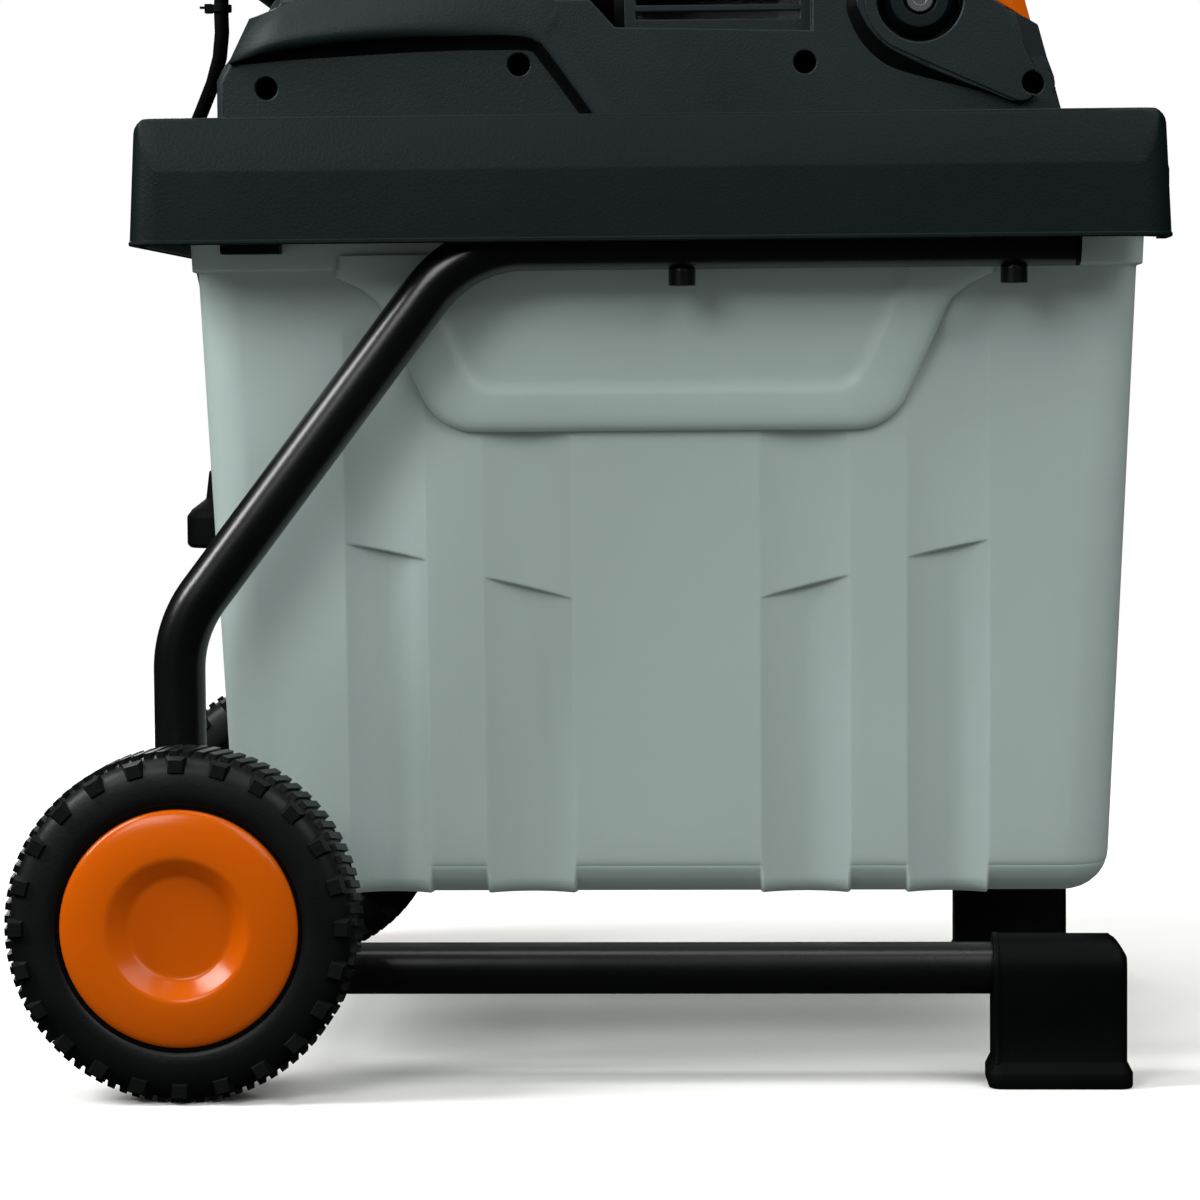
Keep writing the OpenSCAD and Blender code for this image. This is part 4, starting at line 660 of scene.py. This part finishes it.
def boxPlaces():
    xs = sideColumns()
    arc = (3, 14, 25, 36, 47, 58, 69, 80, 87)
    end = 200  # past the channels, where the ledge rows are highest
    places = []
    for way, start in ((1, 0), (-1, 180)):
        places += [("side", x, -way) for x in xs[::way]]
        places += [("corner", end, (start + 270) % 360 + a) for a in arc]
        places += [("end", y * way, way) for y in (-0.9, -0.6, -0.3, 0, 0.3, 0.6, 0.9)]
        places += [("corner", end, start + a) for a in arc]
    return places


def flangePoint(place, height):
    at = wallPoint(place, ("above", tub["top"]), 0)
    half = Vector((tub["halfLength"] + tub["rimOut"], tub["halfWidth"] + tub["rimOut"]))
    grow = Vector((tub["flangeOut"][0] - half.x, tub["flangeOut"][1] - half.y))
    away = Vector((at.x - tub["middle"], at.y))
    push = [g * max(-1, min(1, a / (h - 1))) if abs(a) > h - tub["corner"] - 4 else 0
            for g, a, h in zip(grow, away, half)]
    return Vector((at.x + push[0], at.y + push[1], height))


def gripOutline(spec, inset, steps=10):
    # half an outline from the rim down to the middle, in x and z, then mirrored
    low, half, flare = spec["low"] + inset, spec["half"] - inset * 1.1, math.radians(spec["flare"])
    r = max(9.0, spec["corner"] - inset * 0.6)
    side = Vector((math.sin(flare), math.cos(flare)))
    centre = Vector((half - r, low + r))
    edge = centre + Vector((side.y, -side.x)) * r
    reach = (spec["filletFrom"] - edge.y) / side.y
    fillet = spec["fillet"] * max(0.0, 1 - inset / 10)
    right = []
    for i in range(steps + 1):
        spread = max(0.0, 1 - 4 * i / steps)
        right.append(edge + side * (reach * (1 - i / steps)) + Vector((fillet * spread ** 2, 0)))
    right.insert(0, Vector((right[0].x, spec["high"])))
    for i in range(1, steps + 1):
        a = -flare - (math.pi / 2 - flare) * i / steps
        right.append(centre + Vector((math.cos(a), math.sin(a))) * r)
    right += [Vector((centre.x * s, low)) for s in (0.8, 0.6, 0.4, 0.2)]
    return right + [Vector((0, low))] + [Vector((-p.x, p.y)) for p in reversed(right)]


def boreFlange(piece, x, floor, radius):
    # hole in the front flange for the pin of the box lock
    deep = 12.0
    bpy.ops.mesh.primitive_cylinder_add(vertices=32, radius=radius * mm, depth=deep * mm,
                                        location=(x * mm, 0, (floor + deep / 2) * mm))
    drill = bpy.context.object
    cut = piece.modifiers.new("lockHole", "BOOLEAN")
    cut.object = drill
    cut.operation = "DIFFERENCE"
    cut.solver = "EXACT"
    bakeModifier(piece, cut)
    bpy.data.objects.remove(drill)
    smoothMesh(piece.data, 50)


def makeBox():
    bm = bmesh.new()
    places = boxPlaces()
    rows = boxRows()
    loops = [[bm.verts.new(wallPoint(p, row, 0) * mm) for p in places] for row in rows]
    top = tub["top"]
    brims = (top, top + tub["flangeThick"])
    loops += [[bm.verts.new(flangePoint(p, z) * mm) for p in places] for z in brims]
    inside, lift = tub["wall"] + tub["rimOut"], Vector((0, 0, tub["flangeThick"]))
    loops.append([bm.verts.new((wallPoint(p, ("above", top), inside) + lift) * mm) for p in places])
    inner = [row for row in rows if row[0] != "above" or row[1] < tub["rimFrom"]]
    loops += [[bm.verts.new(wallPoint(p, row, tub["wall"]) * mm) for p in places] for row in reversed(inner)]
    closedStrip(bm, loops)
    bmesh.ops.recalc_face_normals(bm, faces=bm.faces)
    box = linkMesh("collection_box_moulded", bm, 50)
    boreFlange(box, *tub["lockHole"])
    bm = bmesh.new()
    bm.from_mesh(box.data)  # the aprons are added after the hole, which is cut in the walls alone
    for way in (-1, 1):
        rings = []
        for inset, out in grip["profile"]:
            ring = []
            for p in gripOutline(grip, inset):
                wide = tub["halfWidth"] - (top - p.y) * math.tan(math.radians(tub["draft"]))
                ring.append(bm.verts.new(Vector((tub["middle"] + p.x, way * (wide + out), p.y)) * mm))
            rings.append(ring)
        for low, high in zip(rings, rings[1:]):
            for k in range(len(low) - 1):
                bm.faces.new((low[k], low[k + 1], high[k + 1], high[k]))
        bm.faces.new([ring[0] for ring in rings] + [ring[-1] for ring in reversed(rings)])
        bm.faces.new(rings[0])
        bm.faces.new(rings[-1])
    bmesh.ops.recalc_face_normals(bm, faces=bm.faces)
    bm.to_mesh(box.data)
    bm.free()
    smoothMesh(box.data, 50)
    settle(box, "collection_box")


makeBox()
print("collection box moulded")

# Tray skirt: leaning ends, a chamfer on both long sides that runs out into the corners, and a thin lip below
traySkirt = {
    "rear": -220.0, "front": 276.9, "half": 204.1, "bottom": 406.3, "top": 466.8, "corner": 15.0,
    "endLean": 3.0, "crease": 441.0, "chamferIn": 5.5, "creaseSoft": 0.8, "wall": 4.6, "lip": 0.5,
    "lipHeight": 1.8, "sideRound": 2.2, "endRound": 7.0, "border": 13.0, "mouthHalf": 163.3,
    "mouthTop": 419.8, "lockHalf": 14.0, "lockTop": 444.0, "cornerSteps": 16, "roundSteps": 5,
}


def skirtColumns(spec):
    # each column: end (-1 rear, 1 front), side (-1 or 1), angle from the long side,
    # place along the end, bottom
    arc = [90 * i / spec["cornerSteps"] for i in range(spec["cornerSteps"] + 1)]
    flat = spec["half"] - spec["corner"]
    low = spec["bottom"]
    mouth = [(flat, low), (spec["mouthHalf"], low), (spec["mouthHalf"], spec["mouthTop"]),
             (spec["lockHalf"], spec["mouthTop"]), (spec["lockHalf"], spec["lockTop"])]
    front = [(-y, z) for y, z in mouth] + [(y, z) for y, z in reversed(mouth)]
    columns = [(1, -1, a, None, low) for a in arc]
    columns += [(1, 0, 90, y, z) for y, z in front[1:-1]]
    columns += [(1, 1, a, None, low) for a in reversed(arc)]
    columns += [(-1, 1, a, None, low) for a in arc]
    columns += [(-1, 0, 90, y, low) for y in (flat / 2, 0, -flat / 2)]
    columns += [(-1, -1, a, None, low) for a in reversed(arc)]
    return columns


def skirtPoint(spec, column, z, inset):
    end, side, angle, along, low = column
    middle, long = (spec["rear"] + spec["front"]) / 2, (spec["front"] - spec["rear"]) / 2
    long -= spec["endLean"] * (z - spec["bottom"]) / (spec["top"] - spec["bottom"])
    a, r = math.radians(angle), spec["corner"]
    x = end * (long - r + r * math.sin(a))
    y = along if side == 0 else side * (spec["half"] - r + r * math.cos(a))
    limit = spec["half"] - spec["chamferIn"] * max(0, z - spec["crease"]) / (spec["top"] - spec["crease"])
    clipped = abs(y) >= limit - 0.01
    y = max(-limit, min(limit, y))
    away = math.radians(min(90, max(0, (angle - 30) * 1.5)) if clipped or z > spec["crease"] else angle)
    return Vector((middle + x - end * inset * math.sin(away), y - side * inset * math.cos(away), z))


def creaseHeight(spec, column):
    back = spec["corner"] * (1 - math.cos(math.radians(column[2]))) if column[1] else spec["chamferIn"]
    share = min(1.0, back / spec["chamferIn"])
    return spec["crease"] + (spec["top"] - spec["crease"] - spec["endRound"]) * share


def makeTraySkirt(spec):
    bm = bmesh.new()
    columns = skirtColumns(spec)
    rings = []
    for column in columns:
        low = column[4]
        turn = math.radians(column[2])
        roundness = spec["sideRound"] + (spec["endRound"] - spec["sideRound"]) * math.sin(turn) ** 2
        crease = creaseHeight(spec, column)
        lip = spec["lip"] if low == spec["bottom"] else 0
        lipTop = low + spec["lipHeight"]
        line = [(low, 0.6 - lip), (low + 0.6, -lip), (lipTop, -lip), (lipTop + 0.5, 0)]
        line += [(max(low + 3, crease - spec["creaseSoft"]), 0), (max(low + 3.2, crease), 0.04)]
        line += [(max(low + 3.4, min(crease + spec["creaseSoft"], spec["top"] - roundness)), 0)]
        for i in range(spec["roundSteps"] + 1):
            t = math.pi / 2 * i / spec["roundSteps"]
            line.append((spec["top"] - roundness * (1 - math.sin(t)), roundness * (1 - math.cos(t))))
        line += [(spec["top"], spec["border"]), (spec["top"] - 3, spec["border"]),
                 (spec["top"] - 3.4, spec["wall"]), (low, spec["wall"])]
        rings.append([bm.verts.new(skirtPoint(spec, column, z, inset) * mm) for z, inset in line])
    for k, ring in enumerate(rings):
        after = rings[(k + 1) % len(rings)]
        for i in range(len(ring)):
            n = (i + 1) % len(ring)
            bm.faces.new((ring[i], after[i], after[n], ring[n]))
    bmesh.ops.remove_doubles(bm, verts=bm.verts, dist=0.004 * mm)
    settleMesh("tray_skirt", bm, 38, "tray")


makeTraySkirt(traySkirt)
print("tray skirt drawn")

# Front feet: an inverted U over the tube's end, a sloped ledge and a proud sole
footForm = {
    "rear": 192.0, "front": 256.0, "gauge": 180.0, "axis": 55.8, "radius": 17.2, "knee": 34.0,
    "ledgeTop": 12.4, "soleTop": 7.2, "soleOut": 2.6, "soleCorner": 4.0, "soleRound": 1.4,
    "chamfer": 8.0, "endRound": 5.0, "topSteps": 18, "endSteps": 6, "inset": 0.5,
    "rearLip": [(0.0, 0.9), (0.25, 0.3), (0.9, 0.0), (2.6, 0.0), (2.9, 0.5), (3.4, 0.5)],  # along, inset
}


def footLine(spec, inset, ceiling):
    r = spec["radius"] - inset
    line = []
    for i in range(spec["topSteps"] + 1):
        a = math.pi * i / spec["topSteps"]
        line.append((-r * math.cos(a), min(ceiling, spec["axis"] + r * math.sin(a))))
    line += [(r, spec["knee"]), (r, spec["ledgeTop"] + 0.6), (r + 0.3, spec["ledgeTop"])]
    line += [(-across, z) for across, z in reversed(line[-3:])]
    return line


def makeFoot(spec, side, node):
    bm = bmesh.new()
    rings = []
    long = spec["front"] - spec["rear"]
    r, flat = spec["endRound"], spec["inset"]
    stations = spec["rearLip"] + [(at, flat) for at in (long * 0.3, long * 0.6, long - spec["chamfer"])]
    for i in range(spec["endSteps"] + 1):
        t = math.pi / 2 * i / spec["endSteps"]
        stations.append((long - r + r * math.sin(t), flat + r * (1 - math.cos(t))))
    for along, inset in stations:
        ceiling = spec["axis"] + spec["radius"] - max(0.0, along - (long - spec["chamfer"])) - inset * 0.6
        rings.append([bm.verts.new(Vector((spec["rear"] + along, side * spec["gauge"] + across, z)) * mm)
                      for across, z in footLine(spec, inset, ceiling)])
    closedStrip(bm, rings)
    settleMesh(node + "_moulded", bm, 40, node)


def soleLoop(spec, side, grow, z):
    long, wide = (spec["front"] - spec["rear"]) / 2 + grow, spec["radius"] + grow
    middle, r, loop = (spec["front"] + spec["rear"]) / 2, spec["soleCorner"] + grow, []
    for quarter, (sx, sy) in enumerate(((1, 1), (-1, 1), (-1, -1), (1, -1))):
        for i in range(spec["endSteps"] + 1):
            a = math.pi / 2 * (quarter + i / spec["endSteps"])
            loop.append(Vector((middle + sx * (long - r) + r * math.cos(a),
                                side * spec["gauge"] + sy * (wide - r) + r * math.sin(a), z)))
    return loop


def makeSoles(spec):
    bm = bmesh.new()
    out, edge = spec["soleOut"], spec["soleRound"]
    levels = [(spec["ledgeTop"] + 0.2, -1.0), (spec["ledgeTop"] + 0.1, 0.0),
              (spec["soleTop"] + 0.4, out - 0.2), (spec["soleTop"], out),
              (edge, out), (edge * 0.3, out - edge * 0.3), (0.0, out - edge)]
    for side in (-1, 1):
        loops = [soleLoop(spec, side, grow, z) for z, grow in levels]
        closedStrip(bm, [[bm.verts.new(p * mm) for p in loop] for loop in loops])
    settleMesh("foot_pads_moulded", bm, 40, "foot_pads")


makeFoot(footForm, -1, "foot_right")
makeFoot(footForm, 1, "foot_left")
makeSoles(footForm)
print("feet moulded")

# Housing relief on both shells: a rolled brow, the groove under it round the panel, a foot strip;
# on the right-hand shell also the edge and the wall of the pad round the knob; the groove and the pad wall
# are near-black nylon, painted shade for the shadow that lies in them
brow = {
    "ridge": [(-177.0, 498.1), (-164.5, 501.5), (-147.5, 504.7), (-122.1, 507.7), (-96.7, 509.4),
              (-71.4, 510.1), (-46.1, 510.6), (-31.8, 509.6), (-25.9, 507.0), (-22.1, 503.3), (-9.3, 485.8),
              (4.2, 466.9)],
    "groove": [(-177.0, 496.3), (-164.5, 497.0), (-147.6, 498.5), (-122.2, 499.9), (-96.8, 501.2),
               (-71.5, 502.1), (-46.2, 502.3), (-33.6, 502.1), (-29.7, 501.4), (-27.4, 499.6),
               (-16.0, 484.6), (-3.2, 466.9)],
    "steps": 5, "plane": 145.0, "rearTaper": 26.0, "rearLift": (0.44, 0.9), "rearProud": 0.05,
    "fade": 0.88, "fadeFrom": -125.0, "fadeTo": -34.0,  # the roll flattens towards the front
    "steepReach": 0.42, "steepFrom": 0.6, "steepTo": 0.98,  # it is narrower where it runs down
    "profile": [(-1.5, -3.4), (-1.6, 2.6), (-0.9, 4.2), (0.2, 5.4), (1.5, 6.2), (3.2, 6.4), (6.0, 5.9),
                (10.0, 4.6), (14.5, 2.8), (19.0, 1.0), (22.5, 0.0), (23.0, -1.0)],
    # the groove is drawn in near-black nylon: painted shade for the shadow under the brow
    "grooveProfile": [(-0.02, -4.6), (0.0, -3.6), (0.25, -3.2), (0.5, -1.8), (0.75, 0.6), (1.0, 3.0),
                      (1.12, 2.6), (1.12, -4.6)],
}
footStrip = {
    "rear": -182.0, "step": 4.4, "front": 225.0, "low": 466.9, "high": 475.2, "panelHigh": 471.0,
    "plane": 145.05, "panelPlane": 141.05, "thick": 6.5, "lean": 15.3,
}
# the wall under the pad's edge is drawn in near-black nylon: painted shade for the shadow on it
padWall = {
    "inner": [(160.5, 554.0), (144.0, 550.0), (133.0, 538.0), (129.4, 523.6), (131.4, 516.7), (136.0, 508.9),
              (143.8, 501.0), (154.1, 495.2), (166.2, 489.6), (180.0, 483.7), (192.1, 479.0), (200.7, 475.4),
              (205.9, 473.4)],
    "outer": [(160.2, 555.0), (141.6, 553.5), (128.6, 540.6), (124.5, 523.6), (126.5, 513.3), (131.7, 503.8),
              (138.6, 496.3), (146.4, 491.2), (157.6, 487.4), (171.4, 483.8), (185.2, 480.2), (197.3, 477.0),
              (205.0, 473.2)],
    "middle": (172.0, 512.0), "face": 149.3, "base": 144.8, "steps": 4,
}


def smoothLine(points, steps):
    ends = [Vector(p) for p in (points[0], *points, points[-1])]
    line = []
    for a, b, c, d in zip(ends, ends[1:], ends[2:], ends[3:]):
        for i in range(steps):
            t = i / steps
            line.append((b * 2 + (c - a) * t + (a * 2 - b * 5 + c * 4 - d) * t ** 2
                         + (b * 3 - a - c * 3 + d) * t ** 3) / 2)
    return line + [ends[-1]]


def addBrow(bm, relief, spec, side):
    ridge, groove = (smoothLine(spec[k], spec["steps"]) for k in ("ridge", "groove"))
    rings, paintedShadeRings, walked = [], [], 0.0
    for i, (at, foot) in enumerate(zip(ridge, groove)):
        heading = (ridge[min(i + 1, len(ridge) - 1)] - ridge[max(i - 1, 0)]).normalized()
        walked += (at - ridge[i - 1]).length if i else 0
        turned = stepUp(walked, 0, 2 * spec["rearTaper"])
        lift = Vector(spec["rearLift"]).lerp(Vector((-heading.y, heading.x)), turned)
        proud = spec["rearProud"] + (1 - spec["rearProud"]) * stepUp(walked, 0, spec["rearTaper"])
        proud *= 1 - spec["fade"] * stepUp(at.x, spec["fadeFrom"], spec["fadeTo"])
        level = stepUp(heading.x, spec["steepFrom"], spec["steepTo"])
        reach = spec["steepReach"] + (1 - spec["steepReach"]) * level
        roll = [(at + lift * up * reach, out) for up, out in spec["profile"]]
        shade = [(foot + (at - foot) * s, out) for s, out in spec["grooveProfile"]]
        for ringSet, mesh, line in ((rings, bm, roll), (paintedShadeRings, relief, shade)):
            ring = []
            for p, out in line:
                y = spec["plane"] + (out * proud if out > 0 else out)
                ring.append(mesh.verts.new(Vector((p.x, side * y, p.y)) * mm))
            ringSet.append(ring)
    closedStrip(bm, rings)
    closedStrip(relief, paintedShadeRings)


def addFootStrip(bm, spec, side):
    slope = math.tan(math.radians(spec["lean"]))
    stretches = ((spec["rear"], spec["step"], spec["panelHigh"], spec["panelPlane"], 0),
                 (spec["step"], spec["front"], spec["high"], spec["plane"], slope))
    for x0, x1, high, plane, lean in stretches:
        outer, inner = side * plane, side * (plane - spec["thick"])
        rings = []
        for x in (x0, x1):
            back = lean * (high - spec["low"]) if x == x1 else 0
            rings.append([bm.verts.new(Vector(p) * mm) for p in (
                (x, outer, spec["low"]), (x - back, outer, high),
                (x - back, inner, high), (x, inner, spec["low"]))])
        closedStrip(bm, rings)


def addPadWall(bm, dark, spec):
    rings, paintedShadeRings = [], []
    face, base = spec["face"], spec["base"]
    edges, feet = (smoothLine(spec[k], spec["steps"]) for k in ("inner", "outer"))
    for edge, foot in zip(edges, feet):
        inward = (Vector(spec["middle"]) - edge).normalized()
        pad = [(edge + inward * 9, face - 0.6), (edge + inward * 3, face), (edge + inward * 0.6, face),
               (edge, face - 0.5), (edge, base), (edge + inward * 9, base)]
        shade = [(edge + inward, face - 1.0), (edge, face - 0.55), (edge.lerp(foot, 0.25), face - 1.6),
                 (edge.lerp(foot, 0.7), base + 1.1), (foot, base + 0.25), (foot, base - 0.5),
                 (edge + inward, base - 0.5)]
        for ringSet, mesh, line in ((rings, bm, pad), (paintedShadeRings, dark, shade)):
            ringSet.append([mesh.verts.new(Vector((p.x, -y, p.y)) * mm) for p, y in line])
    closedStrip(bm, rings)
    closedStrip(dark, paintedShadeRings)


for side, sideName in ((-1, "right"), (1, "left")):
    bm, dark = bmesh.new(), bmesh.new()
    addBrow(bm, dark, brow, side)
    addFootStrip(bm, footStrip, side)
    if side < 0:
        addPadWall(bm, dark, padWall)
    # the second mesh is near-black satin nylon: painted shade in the groove and on the pad wall
    for mesh, kind, finish in ((bm, "_relief", "sparkedAbs"), (dark, "_painted_shade", "satinNylon")):
        node = "housing_" + sideName
        settleMesh(node + kind, mesh, 40, node, materials[finish])
print("housing relief drawn")

# Nodes that stay as CAD solids, mostly inside the housing
for nodeName, nodeObject in frame["nodes"].items():
    if not nodeObject.hide_render:
        nodeObject.data.materials.clear()
        nodeObject.data.materials.append(finishOf(nodeName))
print("other solids coloured")

# Mains lead: short pigtail, down behind the tray on the far side
lead = {
    "diameter": 8.0,
    "route": [(-185, 60, 585), (-194, 60, 580.3), (-201.5, 60, 574.5), (-207, 60, 566.5), (-210.3, 60, 556),
              (-211, 61, 544), (-211, 63, 531), (-213, 67, 518), (-218, 75, 505), (-226, 87, 491),
              (-235, 101, 476), (-241, 117, 458), (-242, 132, 438), (-238, 144, 416), (-234, 150, 392),
              (-231, 152, 366), (-230, 152.5, 340), (-230, 152.5, 314), (-230, 152.5, 290)],
}


def makeLead(spec):
    points = [Vector(p) * mm for p in spec["route"]]
    curve = bpy.data.curves.new("mainsLead", "CURVE")
    curve.dimensions = "3D"
    curve.bevel_depth = spec["diameter"] / 2 * mm
    curve.bevel_resolution = 5
    curve.resolution_u = 6
    curve.use_fill_caps = True
    spline = curve.splines.new("POLY")
    spline.points.add(len(points) - 1)
    for point, at in zip(spline.points, points):
        point.co = (*at, 1)
    spline.use_smooth = True
    piece = bpy.data.objects.new("mainsLead", curve)
    scene.collection.objects.link(piece)
    curve.materials.append(finishOf("mains_cord"))
    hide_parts("mains_cord")
    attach(piece, nodeBody["mains_cord"])


makeLead(lead)
